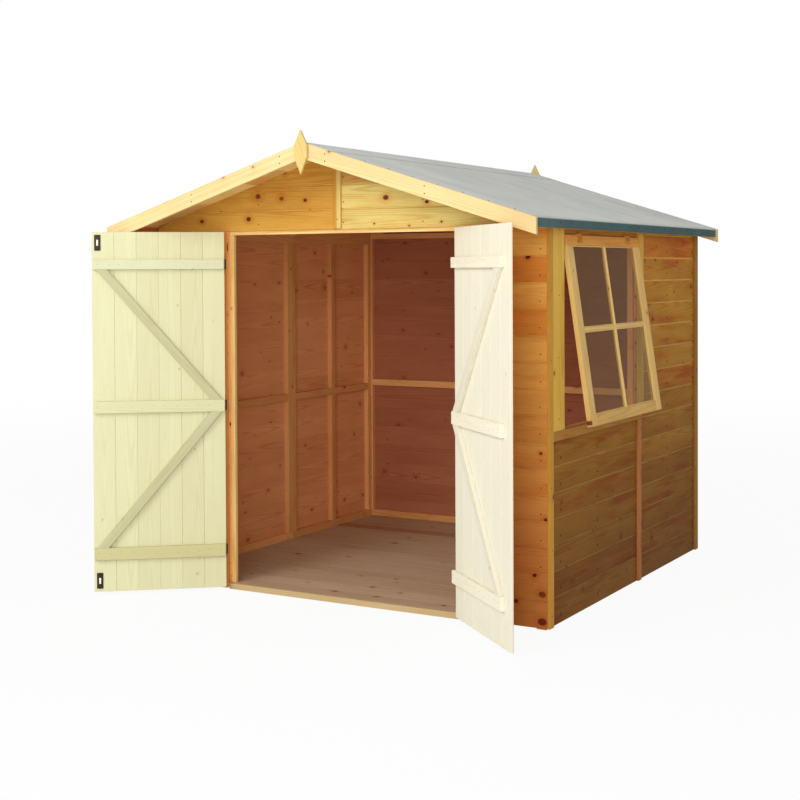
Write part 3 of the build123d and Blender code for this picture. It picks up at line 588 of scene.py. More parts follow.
def finishes():
    """Every material by the name its pieces ask for, made once."""
    c = settings().colours
    walls = {"inner": c.inside, "lit_lap": 0.35}
    side = {"red": 0.3, "even": 0.4, "streaks": 0.9, "low": (0.37, 0.31, 0.4), "lit_lap": 0.95,
            "stained": True}
    # painted shade that darkens the left door's boards and ledges towards their foot
    door_foot_shade = (0.9, 0.82, 0.64)
    mid_pane = np.mean(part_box("window_pane"), 0)[2]
    return {
        "gable": timber_finish("gable_boards", c.gable, 0.2, 0.55, 1.2, 0.5, red=0.2, even=0.5,
                               streaks=0.4, crowd=1.8, beyond=(0, 0.0, c.gable_right), **walls),
        "front": timber_finish("front_boards", c.front, 0.16, 0.35, 1.9, 0.3, red=0.3, even=0.3, streaks=0.45,
                               low=(0.68, 0.48, 0.55), crowd=2.0, low_knots=0.4, **walls),
        # the side and back walls take the darker side colour, which is painted shade
        "side": timber_finish("side_boards", c.side, 0.24, 0.65, 1.2, 0.5, inner=c.inside, **side),
        # the back wall's inner face takes a darker colour, painted shade
        "back": timber_finish("back_boards", c.side, 0.24, 0.65, 1.2, 0.5, inner=c.shaded_inside_back, **side),
        "barge": timber_finish("barge_boards", c.barge, 0.1, 0.5, 1.2, 0.3, pale=0.6, red=0.1, crowd=1.6),
        "finial": timber_finish("finials", c.finial, 0.08, 0.3, 0.8, 0.3, pale=0.5, red=0.02),
        "header": timber_finish("door_stops", c.header, 0.12, 0.6, 0.9, 0.4, red=0.1),
        "post": timber_finish("door_posts", c.post, 0.2, 0.7, 0.9, 0.45, red=0.2),
        "corner": timber_finish("corner_strips", c.corner, 0.16, 0.6, 0.9, 0.45, red=0.1,
                                beyond=(1, 0.0, c.corner_back)),
        "jamb": timber_finish("window_jambs", c.jamb, 0.14, 0.5, 0.9, 0.4, red=0.1),
        "sill": timber_finish("window_sill", c.sill, 0.14, 0.5, 0.9, 0.4, red=0.1),
        "strip": timber_finish("joint_strips", c.strip, 0.14, 0.5, 0.8, 0.4, red=0.2),
        "left_leaf": timber_finish("left_door_boards", c.door_outside, 0.14, 0.12, 0.5, 0.16, 0.6, 0.03,
                                   c.left_leaf, 0.04, 0.01, door_foot_shade),
        # the right door's paler colours are painted highlight
        "right_leaf": timber_finish("right_door_boards", c.door_outside, 0.14, 0.1, 0.5, 0.1, 0.9, 0.03,
                                    c.right_leaf, 0.025, 0.01),
        "left_ledge": timber_finish("left_door_ledges", c.left_ledge, 0.05, 0.15, 0.5, 0.14, 0.8, 0.02,
                                    low=door_foot_shade),
        "right_ledge": timber_finish("right_door_ledges", c.right_ledge, 0.03, 0.15, 0.5, 0.1, 0.9, 0.02),
        "left_brace": timber_finish("left_door_braces", c.left_brace, 0.05, 0.15, 0.5, 0.16, 0.8, 0.02),
        "right_brace": timber_finish("right_door_braces", c.right_brace, 0.03, 0.15, 0.5, 0.1, 0.9, 0.02),
        "floor": timber_finish("floor_boards", c.floor, 0.12, 0.5, 1.0, 0.3, red=0.05, even=0.4),
        "threshold": timber_finish("threshold_board", c.threshold, 0.14, 0.7, 1.0, 0.35, red=0.1),
        "framing": timber_finish("framing_timber", c.framing, 0.14, 0.5, 0.9, 0.4, red=0.1),
        # painted light on the underside of the roof, from the paler soffit colour
        "soffit": timber_finish("roof_boards", c.soffit, 0.14, 0.5, 0.9, 0.4, red=0.15),
        "sash": timber_finish("sash_timber", c.sash, 0.14, 0.5, 0.8, 0.35, red=0.1),
        # rails above the middle of the pane take the upper rail's colour, which is partly painted shade from
        # the eaves
        "rail": timber_finish("sash_rails", c.low_rail, 0.14, 0.4, 0.7, 0.35, red=0.1,
                              beyond=(2, mid_pane, c.rail)),
        "felt": felt_finish(),
        "iron": iron_finish("black_iron", c.iron),
        "bolt": iron_finish("bronzed_bolts", c.bolt),
        "steel": iron_finish("bright_steel", c.steel, 0.2, 0.4),
        "zinc": iron_finish("dulled_zinc", c.zinc, 0.0, 0.1),
        "nail": nail_finish(),
        "glass": glass_finish(),
    }


def finish(name):
    """A material from this file by its piece's name; all are made at the first call."""
    if not MADE:
        MADE.update(finishes())
    return MADE[name]


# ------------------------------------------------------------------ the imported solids
def closing(side):
    """The turn from a door's place at rest to where it shuts, and back again."""
    joint = next(j for j in frame["joints"] if j["name"] == f"{side}_door_hinge")
    low, high = joint["range_deg"]
    angle = math.radians(low if abs(low) > abs(high) else high)
    to_pin = Matrix.Translation(joint["pos_m"])
    turn = to_pin @ Matrix.Rotation(angle, 4, joint["axis"]) @ to_pin.inverted()
    return np.array(turn), np.array(turn.inverted())


def carried(points, matrix):
    """Points moved by a 4 by 4 matrix."""
    return points @ matrix[:3, :3].T + matrix[:3, 3]


def solids(node, matrix=None):
    """The corners of each separate solid of a CAD node, found by spreading the lowest label."""
    mesh = frame["nodes"][node].data
    points = np.empty(len(mesh.vertices) * 3)
    mesh.vertices.foreach_get("co", points)
    corners = np.empty(len(mesh.loops), int)
    mesh.loops.foreach_get("vertex_index", corners)
    merged, where = np.unique(points.reshape(-1, 3).round(5), axis=0, return_inverse=True)
    faces = where.reshape(-1)[corners].reshape(-1, 3)
    label = np.arange(len(merged))
    settled = False
    while not settled:
        spread = label.copy()
        np.minimum.at(spread, faces.ravel(), np.repeat(label[faces].min(1), 3))
        settled = bool((spread == label).all())
        label = spread
    found = [merged[label == k] for k in np.unique(label)]
    return [carried(part, matrix) for part in found] if matrix is not None else found


def limits(part):
    return part.min(0), part.max(0)


def slope():
    """Fall of the roof for each metre from the ridge."""
    deck = solids("right_roof_deck")[0]
    edge = deck[:, 0].max()
    return (deck[:, 2].max() - deck[deck[:, 0] > edge - 1e-4][:, 2].max()) / edge


# ------------------------------------------------------------------ timber
def outline(part):
    """The corners of a convex solid's section in X and Z, in order round its middle."""
    flat = np.unique(part[:, [0, 2]].round(5), axis=0)
    away = flat - flat.mean(0)
    return flat[np.argsort(np.arctan2(away[:, 1], away[:, 0]))]


def drawn_out(section, start, end):
    """The two end rings of a section in X and Z drawn out along Y."""
    rings = []
    for y in (start, end):
        rings.append(np.column_stack([section[:, 0], np.full(len(section), y), section[:, 1]]))
    return rings


def unit(vector):
    return np.array(vector, float) / np.linalg.norm(vector)


def timber(near, far, along, out):
    """One timber: two rings of corners, the way of its grain and the way it faces."""
    return near, far, unit(along), unit(out)


def like(part):
    """A timber with the place and section of a convex CAD solid, its grain along its length."""
    section = outline(part)
    low, high = limits(part)
    edges = np.roll(section, -1, 0) - section
    longest = edges[np.argmax(np.hypot(*edges.T))]
    edge = np.array([longest[0], 0.0, longest[1]])
    normal = np.array([longest[1], 0.0, -longest[0]])
    run = high[1] - low[1]
    if run > np.linalg.norm(edge):
        along, out = ALONG_Y, normal
    else:
        along = edge
        through = np.ptp(part @ unit(normal))
        out = ALONG_Y if run < through else normal
    middle = part.mean(0)
    out = out * (1.0 if out @ middle >= 0 else -1.0)
    return timber(*drawn_out(section, low[1], high[1]), along, out)


def bar(low, high, along, out):
    """A squared timber that fills a box; the section is carried along its grain."""
    low, high = np.array(low, float), np.array(high, float)
    axis = int(np.argmax(np.abs(along)))
    first, second = [i for i in range(3) if i != axis]
    ring = np.tile(low, (4, 1))
    ring[1:3, first] = high[first]
    ring[2:4, second] = high[second]
    far = ring.copy()
    far[:, axis] = high[axis]
    return timber(ring, far, along, out)


def turned(timbers, matrix):
    """The same timbers moved by a 4 by 4 matrix."""
    turn = matrix[:3, :3]
    return [(carried(near, matrix), carried(far, matrix), turn @ along, turn @ out)
            for near, far, along, out in timbers]


def timber_mesh(name, timbers, seed=0):
    """Every timber is a section carried along a straight path and closed by its two end faces.

    Each corner keeps its place along, across and into its timber, and its timber's tone.
    """
    rng = np.random.default_rng([settings().seed, seed])
    points, grain, tone, corners, sizes = [], [], [], [], []
    base = 0
    for near, far, along, out in timbers:
        count = len(near)
        facing = np.cross(near, np.roll(near, -1, 0)).sum(0)
        if facing @ (far - near).mean(0) < 0:
            near, far = near[::-1], far[::-1]
        ring = np.arange(count)
        after = np.roll(ring, -1)
        sides = np.stack([ring, after, after + count, ring + count], 1)
        both = np.concatenate([near, far])
        axes = np.stack([along, np.cross(out, along), out])
        place = (both - both.mean(0)) @ axes.T
        place[:, 2] -= place[:, 2].min()
        points.append(both)
        grain.append(place)
        tone.append(np.tile(rng.random(3), (2 * count, 1)))
        corners += [sides.ravel() + base, ring[::-1] + base, ring + count + base]
        sizes += [4] * count + [count, count]
        base += 2 * count
    mesh = new_mesh(name, np.concatenate(points), np.concatenate(corners), np.array(sizes))
    for label, data in (("grain", grain), ("tone", tone)):
        held = mesh.attributes.new(label, "FLOAT_VECTOR", "POINT")
        held.data.foreach_set("vector", np.concatenate(data).astype(np.float32).ravel())
    return mesh


def new_mesh(name, points, corners, sizes, smooth=False):
    """A mesh from its points, the corners of its faces in a row and the corners per face."""
    mesh = bpy.data.meshes.new(name)
    mesh.vertices.add(len(points))
    mesh.vertices.foreach_set("co", np.asarray(points, np.float32).ravel())
    mesh.loops.add(len(corners))
    mesh.loops.foreach_set("vertex_index", np.asarray(corners, np.int32))
    mesh.polygons.add(len(sizes))
    starts = np.concatenate([[0], np.cumsum(sizes)[:-1]])
    mesh.polygons.foreach_set("loop_start", starts.astype(np.int32))
    mesh.update(calc_edges=True)
    mesh.polygons.foreach_set("use_smooth", np.full(len(sizes), smooth))
    mesh.validate()
    return mesh


def linked(name, data):
    """A new object in the scene that shows this data."""
    held = bpy.data.objects.new(name, data)
    bpy.context.scene.collection.objects.link(held)
    return held


def place_piece(mesh, material, body, replaced=()):
    """Shows a mesh as a piece that rides on a body and stands for CAD nodes."""
    piece = linked(mesh.name, mesh)
    mesh.materials.append(finish(material))
    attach(piece, body)
    if replaced:
        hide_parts(*replaced)
    return piece


def round_edges(piece, width=None):
    """A narrow rounding on every sharp edge."""
    bevel = piece.modifiers.new("rounded", "BEVEL")
    bevel.width = settings().boards.edge_round if width is None else width
    bevel.segments = 2
    bevel.limit_method = "ANGLE"
    bevel.angle_limit = math.radians(35)
    return piece


def timber_piece(name, timbers, material, replaced=(), body="shed", seed=0, width=None):
    """A finished piece made of timbers."""
    piece = place_piece(timber_mesh(name, timbers, seed), material, body, replaced)
    return round_edges(piece, width)


def copied(name, nodes, material, body="shed", seed=0, width=None):
    """A piece whose timbers stand where the solids of CAD nodes are."""
    timbers = [like(part) for node in nodes for part in solids(node)]
    return timber_piece(name, timbers, material, nodes, body, seed, width)


# ------------------------------------------------------------------ boards
def even_widths(low, high, width):
    """Edges of whole boards that share a width near the one asked for."""
    return np.linspace(low, high, max(1, round((high - low) / width)) + 1)


def side_by_side(low, high, width):
    """Starts and ends of whole boards side by side, a joint's gap apart."""
    gap = settings().boards.joint_gap / 2
    edges = even_widths(low, high, width)
    last = len(edges) - 2
    return [(start + (gap if k else 0.0), end - (gap if k < last else 0.0))
            for k, (start, end) in enumerate(zip(edges[:-1], edges[1:]))]


def boards_in_box(part, width, along, across_axis, out):
    """Boards side by side in a box."""
    low, high = limits(part)
    found = []
    for start, end in side_by_side(low[across_axis], high[across_axis], width):
        first, last = low.copy(), high.copy()
        first[across_axis] = start
        last[across_axis] = end
        found.append(bar(first, last, along, out))
    return found


def rows(low, high):
    """Heights of the shiplap joints in a wall that starts at low and stops at high."""
    sizes = settings().boards
    joints = np.arange(sizes.first_joint, high, sizes.row_height)
    joints = joints[(joints > low + LEAST_FOOT) & (joints < high - LEAST_TOP)]
    return np.concatenate([[low], joints, [high]])


def shiplap_section(start, end, thick, last):
    """Height and depth of a wall board's corners.

    The face is flat; a board that another one laps ends in a scooped cove, whose height grows with
    the cosine and whose depth grows with the sine of one quarter turn.
    """
    sizes = settings().boards
    tall = 0.0 if last else sizes.cove_height
    flat = np.linspace(start, end - tall, 4)
    section = [np.column_stack([flat, np.full(len(flat), thick)])]
    if not last:
        turn = np.linspace(0.0, math.pi / 2, 5)[1:]
        section.append(np.column_stack([end - tall + tall * (1 - np.cos(turn)),
                                        thick - sizes.cove_depth * np.sin(turn)]))
    return np.concatenate([*section, [[end, 0.0], [start, 0.0]]])


def wall_boards(part, wall, gable=False):
    """Shiplap boards over one CAD slab of a wall, cut under the roof where they meet it."""
    out = WALLS[wall]
    axis = 1 if abs(out[0]) else 0
    depth_axis = 1 - axis
    low, high = limits(part)
    thick = high[depth_axis] - low[depth_axis]
    inner = low[depth_axis] if out[depth_axis] > 0 else high[depth_axis]
    fall = slope()
    edges = rows(low[2], high[2])
    spans = [(low[axis], 0.0), (0.0, high[axis])] if gable else [(low[axis], high[axis])]
    found = []
    for start, end in zip(edges[:-1], edges[1:]):
        last = end == edges[-1]
        section = shiplap_section(start, end, thick, last)
        depth = inner + section[:, 1] * out[depth_axis]
        height = section[:, 0]
        if last and axis == 1:
            top = np.abs(part[:, 0]) * fall + part[:, 2]
            height = np.minimum(height, top.max() - np.abs(depth) * fall)
        for span in spans:
            ends = []
            for edge in span:
                ring = np.empty((len(height), 3))
                ring[:, axis] = edge
                ring[:, depth_axis] = depth
                ring[:, 2] = height
                if gable and edge:
                    reach = np.maximum((high[2] - height) / fall, LEAST_REACH)
                    ring[:, axis] = np.sign(edge) * np.minimum(abs(edge), reach)
                ends.append(ring)
            found.append(timber(*ends, np.cross(UP, out), out))
    return found


# ------------------------------------------------------------------ heads of nails and screws


def heads_mesh(name, places, facings, radius, profile, sides=8):
    """Round heads: a profile of radius and height turned about each facing, closed top and bottom."""
    places = np.array(places, float).reshape(-1, 3)
    normal = np.array(facings, float).reshape(-1, 3)
    normal /= np.linalg.norm(normal, axis=1, keepdims=True)
    helper = np.where(np.abs(normal[:, 2:]) > 0.9, ALONG_X, UP)
    first = np.cross(helper, normal)
    first /= np.linalg.norm(first, axis=1, keepdims=True)
    second = np.cross(normal, first)
    shape = np.array(profile) * radius
    angle = np.arange(sides) * 2 * math.pi / sides
    ring = (np.cos(angle)[None, :, None] * first[:, None, :]
            + np.sin(angle)[None, :, None] * second[:, None, :])
    points = (places[:, None, None, :] + shape[None, :, 0, None, None] * ring[:, None]
              + shape[None, :, 1, None, None] * normal[:, None, None, :])
    level, step = np.meshgrid(np.arange(len(shape) - 1), np.arange(sides), indexing="ij")
    after = (step + 1) % sides
    quads = np.stack([level * sides + step, level * sides + after,
                      (level + 1) * sides + after, (level + 1) * sides + step], -1).reshape(-1)
    one = np.concatenate([quads, np.arange(sides)[::-1], np.arange(sides) + (len(shape) - 1) * sides])
    shift = np.arange(len(places))[:, None] * sides * len(shape)
    sizes = np.concatenate([np.full((len(shape) - 1) * sides, 4), [sides, sides]])
    corners = (one[None, :] + shift).ravel()
    return new_mesh(name, points.reshape(-1, 3), corners, np.tile(sizes, len(places)))


def heads(name, nails, radius, profile, material="nail", body="shed", sides=8, rest=None):
    """A piece of round heads, each given by its place and the way it faces.

    A leaf's heads are set while it is shut, and rest is the turn that swings them out with it.
    """
    places, facings = [np.array(column, float) for column in zip(*nails)]
    if rest is not None:
        places, facings = carried(places, rest), facings @ rest[:3, :3].T
    mesh = heads_mesh(name, places, facings, radius, profile, sides)
    return place_piece(mesh, material, body)


def inside(point, box, axes, margin):
    """Whether a point lies in a box on these axes, a margin from its sides."""
    low, high = box
    return all(low[a] + margin <= point[a] <= high[a] - margin for a in axes)


# ------------------------------------------------------------------ pieces
def lay_floor():
    """Floor boards across the bearers, the bearers and the threshold."""
    sizes = settings().boards
    floor = solids("floor_boards")[0]
    boards = boards_in_box(floor, sizes.floor_board, ALONG_X, 1, UP)
    timber_piece("floor_boards_laid", boards, "floor", ["floor_boards"], seed=1)
    copied("floor_bearers_cut", ["floor_bearers"], "framing", seed=2)
    copied("threshold_cut", ["door_threshold"], "threshold", seed=3)


def board_walls():
    """Shiplap boards on the four walls and the two gables."""
    sets = (("front", "front", False), ("front", "gable", True), ("back", "back", False),
            ("back", "back", True), ("left", "side", False), ("right", "side", False))
    for seed, (wall, material, gable) in enumerate(sets):
        nodes = [f"{wall}_gable_cladding"] if gable else SKINS[wall]
        boards = [b for node in nodes for part in solids(node) for b in wall_boards(part, wall, gable)]
        timber_piece(f"{wall}_{'gable' if gable else 'wall'}_boards", boards, material,
                     nodes, seed=10 + seed, width=0.0009)


def frame_walls():
    """Studs, rails and rafters of the wall panels."""
    names = ("end_wall_studs", "end_wall_rails", "gable_rafters", "side_wall_studs", "side_wall_rails")
    for seed, node in enumerate(names):
        copied(f"{node}_cut", [node], "framing", seed=20 + seed)


def board_roof():
    """Roof boards along the ridge, the ridge beam, the rafters and the eaves battens."""
    fall = slope()
    width = settings().boards.deck_board * math.cos(math.atan(fall))
    for seed, (side, sign) in enumerate(SIDES.items()):
        node = f"{side}_roof_deck"
        deck = solids(node)[0]
        low, high = limits(deck)
        reach = max(abs(low[0]), abs(high[0]))
        top = high[2]
        bottom = (deck[:, 2] + np.abs(deck[:, 0]) * fall).min()
        facing = np.array([sign * fall, 0.0, 1.0])
        boards = []
        for x0, x1 in side_by_side(0.0, reach, width):
            section = np.array([(sign * x0, top - x0 * fall), (sign * x1, top - x1 * fall),
                                (sign * x1, bottom - x1 * fall), (sign * x0, bottom - x0 * fall)])
            boards.append(timber(*drawn_out(section, low[1], high[1]), ALONG_Y, facing))
        timber_piece(f"{side}_roof_boards", boards, "soffit", [node], seed=30 + seed)
        copied(f"{side}_rafters_cut", [f"{side}_roof_rafters"], "soffit", seed=32 + seed)
    copied("ridge_beam_cut", ["ridge_beam"], "framing", seed=34)
    copied("eaves_battens_cut", ["eaves_battens"], "framing", seed=35)


def grid_faces(count, columns):
    """Corners of the faces of a grid, row by row."""
    i, j = np.meshgrid(np.arange(count - 1), np.arange(columns - 1), indexing="ij")
    corner = i * columns + j
    return np.stack([corner, corner + columns, corner + columns + 1, corner + 1], -1).reshape(-1)


def felt_section(reach, hem, ridge, foot):
    """Half of the felt's section: down the slope and, with a hem, round a small arc to its foot."""
    fold = settings().felt.fold
    fall = slope()
    across = np.concatenate([[0.0, TIGHT, 3 * TIGHT], np.linspace(0.04, reach - 4 * TIGHT, 24)])
    if not hem:
        across = np.concatenate([across, [reach - TIGHT, reach]])
    half = [np.column_stack([across, ridge - across * fall])]
    if hem:
        turn = np.linspace(math.pi / 2 - math.atan(fall), 0.0, 9)
        arc = np.column_stack([np.cos(turn), np.sin(turn)]) * fold
        arc[:, 0] += reach - fold
        arc[:, 1] += ridge - reach * fall - arc[0, 1] + (reach - arc[0, 0]) * fall
        drop = np.append(np.linspace(arc[-1, 1], foot + TIGHT, 5)[1:], foot)
        half += [arc, np.column_stack([np.full(len(drop), reach), drop])]
    return np.concatenate(half)


def felt_sheet(name, reach, hem, lift):
    """A sheet of felt over the ridge as a surface of two parameters.

    The first runs down both slopes by length, round a small arc at the fold and down the hem; the
    second runs from front to back.  Slow sines let the sheet sink a little in places.
    """
    low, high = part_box("right_roof_felt")
    front, back = low[1], high[1]
    right = felt_section(reach, hem, high[2] + lift, low[2])
    section = np.concatenate([right[:0:-1] * np.array([-1.0, 1.0]), right])
    along = np.concatenate([[front, front + TIGHT], np.linspace(front + 0.03, back - 0.03, 58),
                            [back - TIGHT, back]])
    u, v = np.meshgrid(np.abs(section[:, 0]), along, indexing="ij")
    side = np.sign(section[:, 0])[:, None]
    quiet = np.clip((v - front) / SETTLED, 0, 1) * np.clip((back - v) / SETTLED, 0, 1)
    quiet = quiet * np.clip((reach - 0.02 - u) / 0.1, 0, 1)
    down, back_run, fast, slant = WAVES
    swell = np.sin(u * down + side) * np.sin(v * back_run + side * 2) + np.sin(v * fast + u * slant)
    swell = swell * 0.25 + 0.5
    points = np.empty(u.shape + (3,))
    points[..., 0] = section[:, 0][:, None]
    points[..., 1] = v
    points[..., 2] = section[:, 1][:, None] + (swell - 1.0) * quiet * settings().felt.unevenness
    quads = grid_faces(*u.shape)
    return new_mesh(name, points.reshape(-1, 3), quads, np.full(len(quads) // 4, 4), smooth=True)


def lay_felt():
    """The felt over both slopes, turned down at the eaves, and the strip over the ridge."""
    sizes = settings().felt
    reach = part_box("right_roof_felt")[1][0]
    for name, width, hem, lift, nodes in (
            ("roofing_felt_sheet", reach, True, 0.0, ["left_roof_felt", "right_roof_felt"]),
            ("ridge_felt_strip", sizes.cap_width / 2, False, sizes.thickness * CAP_LIFT, [])):
        piece = place_piece(felt_sheet(name, width, hem, lift), "felt", "shed", nodes)
        shell = piece.modifiers.new("thickness", "SOLIDIFY")
        shell.thickness = sizes.thickness
        shell.offset = -1.0


def hang_bargeboards():
    """Bargeboards and the pointed finials over their joints."""
    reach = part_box("right_roof_felt")[1][0] + settings().boards.back_barge
    fall = slope()
    boards = []
    for node in ("left_bargeboards", "right_bargeboards"):
        for part in solids(node):
            if part[0, 1] > 0.0:
                past = np.maximum(np.abs(part[:, 0]) - reach, 0.0)
                part = part + np.column_stack([-np.sign(part[:, 0]) * past, past * 0.0, past * fall])
            boards.append(like(part))
    timber_piece("bargeboards_cut", boards, "barge", ["left_bargeboards", "right_bargeboards"],
                 seed=40, width=0.002)
    broad = settings().boards.finial_width
    finials = [like(part * (broad / np.ptp(part[:, 0]), 1.0, 1.0)) for part in solids("finials")]
    timber_piece("finials_cut", finials, "finial", ["finials"], seed=41, width=0.004)


def nail_trims():
    """Cover strips at the corners and joints, and the posts and stops of the doorway."""
    copied("corner_strips_cut", ["corner_trims"], "corner", seed=50)
    copied("joint_strips_cut", ["joint_strips"], "strip", seed=51)
    corners = np.concatenate(solids("door_stops"))
    outer, inner, *_, right = np.unique(corners[:, 0].round(4))
    foot, head, top = np.unique(corners[:, 2].round(4))
    near, far = corners[:, 1].min(), corners[:, 1].max()
    stops = [bar((outer, near, foot), (inner, far, head), UP, -ALONG_Y),
             bar((-inner, near, foot), (right, far, head), UP, -ALONG_Y),
             bar((outer, near, head), (right, far, top), ALONG_X, -ALONG_Y)]
    timber_piece("door_stops_cut", stops, "header", ["door_stops"], seed=52)
    copied("gable_strip_cut", ["front_gable_strip"], "gable", seed=53)
    copied("door_posts_cut", ["door_posts"], "post", seed=54)


def pane_plane(pane):
    """Foot of the glass in X and Z, the way up it, the way out of it and its height."""
    section = outline(pane)
    edges = np.roll(section, -1, 0) - section
    climb = edges[np.argmax(np.hypot(*edges.T))]
    climb = climb if climb[1] > 0 else -climb
    tall = np.hypot(*climb)
    climb = climb / tall
    out = np.array([climb[1], -climb[0]])
    out = out if out[0] > 0 else -out
    return section.mean(0) - climb * tall / 2, climb, out, tall


def fit_window():
    """Jambs, sill, sash with glazing bars and beads, pane, hinges and stay."""
    sizes = settings().window
    copied("window_jambs_cut", ["window_jambs"], "jamb", seed=60)
    copied("window_sill_cut", ["window_sill"], "sill", seed=61, width=0.003)
    copied("sash_stiles_cut", ["window_stiles"], "sash", seed=62, width=0.002)
    copied("sash_rails_cut", ["window_rails"], "rail", seed=63, width=0.002)
    pane = solids("window_pane")[0]
    foot, climb, out, tall = pane_plane(pane)
    low, high = limits(pane)
    middle = (low[1] + high[1]) / 2

    def sash_bar(y0, y1, h0, h1, d0, d1, along):
        """A bar between two places across, up and out of the middle of the glass."""
        corners = np.array([foot + climb * h + out * d for h, d in ((h0, d0), (h1, d0), (h1, d1), (h0, d1))])
        return timber(*drawn_out(corners, y0, y1), along, (out[0], 0.0, out[1]))

    rise = (climb[0], 0.0, climb[1])
    half, stand, bead = sizes.bar_width / 2, sizes.bar_stand, sizes.bead
    columns = ((low[1], middle - half), (middle + half, high[1]))
    levels = ((0.0, tall / 2 - half), (tall / 2 + half, tall))
    bars = [sash_bar(middle - half, middle + half, 0.0, tall, -stand, stand, rise)]
    beads = []
    top = GLASS_FACE + bead * BEAD_SHARE
    for y0, y1 in columns:
        bars.append(sash_bar(y0, y1, tall / 2 - half, tall / 2 + half, -stand, stand, ALONG_Y))
        for h0, h1 in levels:
            for a, b in ((y0, y0 + bead), (y1 - bead, y1)):
                beads.append(sash_bar(a, b, h0, h1, GLASS_FACE, top, rise))
            for a, b in ((h0, h0 + bead), (h1 - bead, h1)):
                beads.append(sash_bar(y0 + bead, y1 - bead, a, b, GLASS_FACE, top, ALONG_Y))
    timber_piece("glazing_bars", bars, "sash", seed=64, width=0.0025)
    timber_piece("glass_beads", beads, "sash", seed=65, width=0.002)
    for node, material in (("window_pane", "glass"), ("window_hinges", "zinc"), ("window_stay", "zinc")):
        dress(node, material)


def dress(node, material):
    """Gives a CAD node that stays its finish."""
    piece = frame["nodes"][node]
    piece.data.materials.clear()
    piece.data.materials.append(finish(material))


def hang_doors():
    """Boards, ledges and braces of both leaves, cut as they hang when shut and swung out to rest."""
    sizes = settings().boards
    for seed, side in enumerate(SIDES):
        shut, rest = closing(side)
        leaf = solids(f"{side}_door_boards", shut)[0]
        boards = boards_in_box(leaf, sizes.door_board, UP, 0, -ALONG_Y)
        timber_piece(f"{side}_leaf_boards", turned(boards, rest), f"{side}_leaf",
                     [f"{side}_door_boards"], f"{side}_door", 70 + seed, 0.0018)
        for node, material, more in (("ledges", "ledge", 0), ("braces", "brace", 4)):
            name = f"{side}_door_{node}"
            bars = [like(part) for part in solids(name, shut)]
            bars = [(near, far, along, ALONG_Y) for near, far, along, _ in bars]
            timber_piece(f"{name}_cut", turned(bars, rest), f"{side}_{material}",
                         [name], f"{side}_door", 72 + seed + more, 0.0022)


def flat_front(part, outermost):
    """Y of the flat front of a hinge half, read at its outermost or its innermost corners."""
    away = np.abs(part[:, 0]) * (1.0 if outermost else -1.0)
    return part[away > away.max() - 1e-4][:, 1].min()


def fit_ironmongery():
    """Hinges and bolts keep their CAD shapes; screws and the bolts' bright rods are added."""
    fixings = settings().fixings
    for node, material in (("left_door_straps", "iron"), ("right_door_straps", "iron"),
                           ("door_hinge_plates", "iron"), ("left_door_bolts", "bolt")):
        dress(node, material)
    shut, rest = closing("left")
    thick = fixings.rod_radius
    rods = []
    for bolt in solids("left_door_bolts", shut):
        low, high = limits(bolt)
        middle = (low + high) / 2
        rods.append(((middle[0], low[1] + thick, middle[2]), UP))
    half = (high[2] - low[2]) * ROD_SHARE / 2 / thick
    heads("bolt_rods", rods, thick, ((1.0, -half), (1.0, half)), "steel", "left_door", 12, rest)
    for side, sign in SIDES.items():
        shut, rest = closing(side)
        screws = []
        for strap in solids(f"{side}_door_straps", shut):
            low, high = limits(strap)
            middle = (low[2] + high[2]) / 2
            outer = max(abs(low[0]), abs(high[0])) - STRAP_EYE
            front = flat_front(strap, False)
            for share, spread in STRAP_SCREWS:
                x = sign * (outer - share * (high[0] - low[0]))
                heights = (middle - spread, middle + spread) if spread else (middle,)
                screws += [((x, front, z), -ALONG_Y) for z in heights]
        heads(f"{side}_strap_screws", screws, fixings.screw_radius, SCREW, "iron", f"{side}_door", 12, rest)
    screws = []
    for plate in solids("door_hinge_plates"):
        low, high = limits(plate)
        outer = low[0] if low[0] < 0 else high[0]
        x = outer - math.copysign(PLATE_SCREW, outer)
        front = flat_front(plate, True)
        for share in PLATE_SHARES:
            screws.append(((x, front, low[2] + share * (high[2] - low[2])), -ALONG_Y))
    heads("plate_screws", screws, fixings.screw_radius, SCREW, "iron", sides=12)


def wall_nails(rng, wall, nodes, lines, covers):
    """Nails in a wall's boards where they cross upright lines, clear of the timbers over them."""
    out = WALLS[wall]
    axis = 1 if abs(out[0]) else 0
    fall = slope()
    found = []
    for node in nodes:
        for part in solids(node):
            low, high = limits(part)
            face = high[1 - axis] if out[1 - axis] > 0 else low[1 - axis]
            edges = rows(low[2], high[2])
            spots = [spot for spot in lines if low[axis] + END_CLEAR < spot < high[axis] - END_CLEAR]
            for foot in edges[:-1][np.diff(edges) >= LEAST_BOARD]:
                for spot in spots:
                    point = np.empty(3)
                    point[axis] = spot + rng.normal(0, WALL_SCATTER[0])
                    point[1 - axis] = face
                    point[2] = foot + NAIL_RISE + rng.normal(0, WALL_SCATTER[1])
                    roof = high[2] - abs(point[axis]) * fall - ROOF_CLEAR
                    covered = any(inside(point, box, (axis, 2), -COVER_CLEAR[0]) and
                                  inside(point, box, (1 - axis,), -COVER_CLEAR[1]) for box in covers)
                    if not covered and ("gable" not in node or point[2] <= roof):
                        found.append((point, out))
    return found


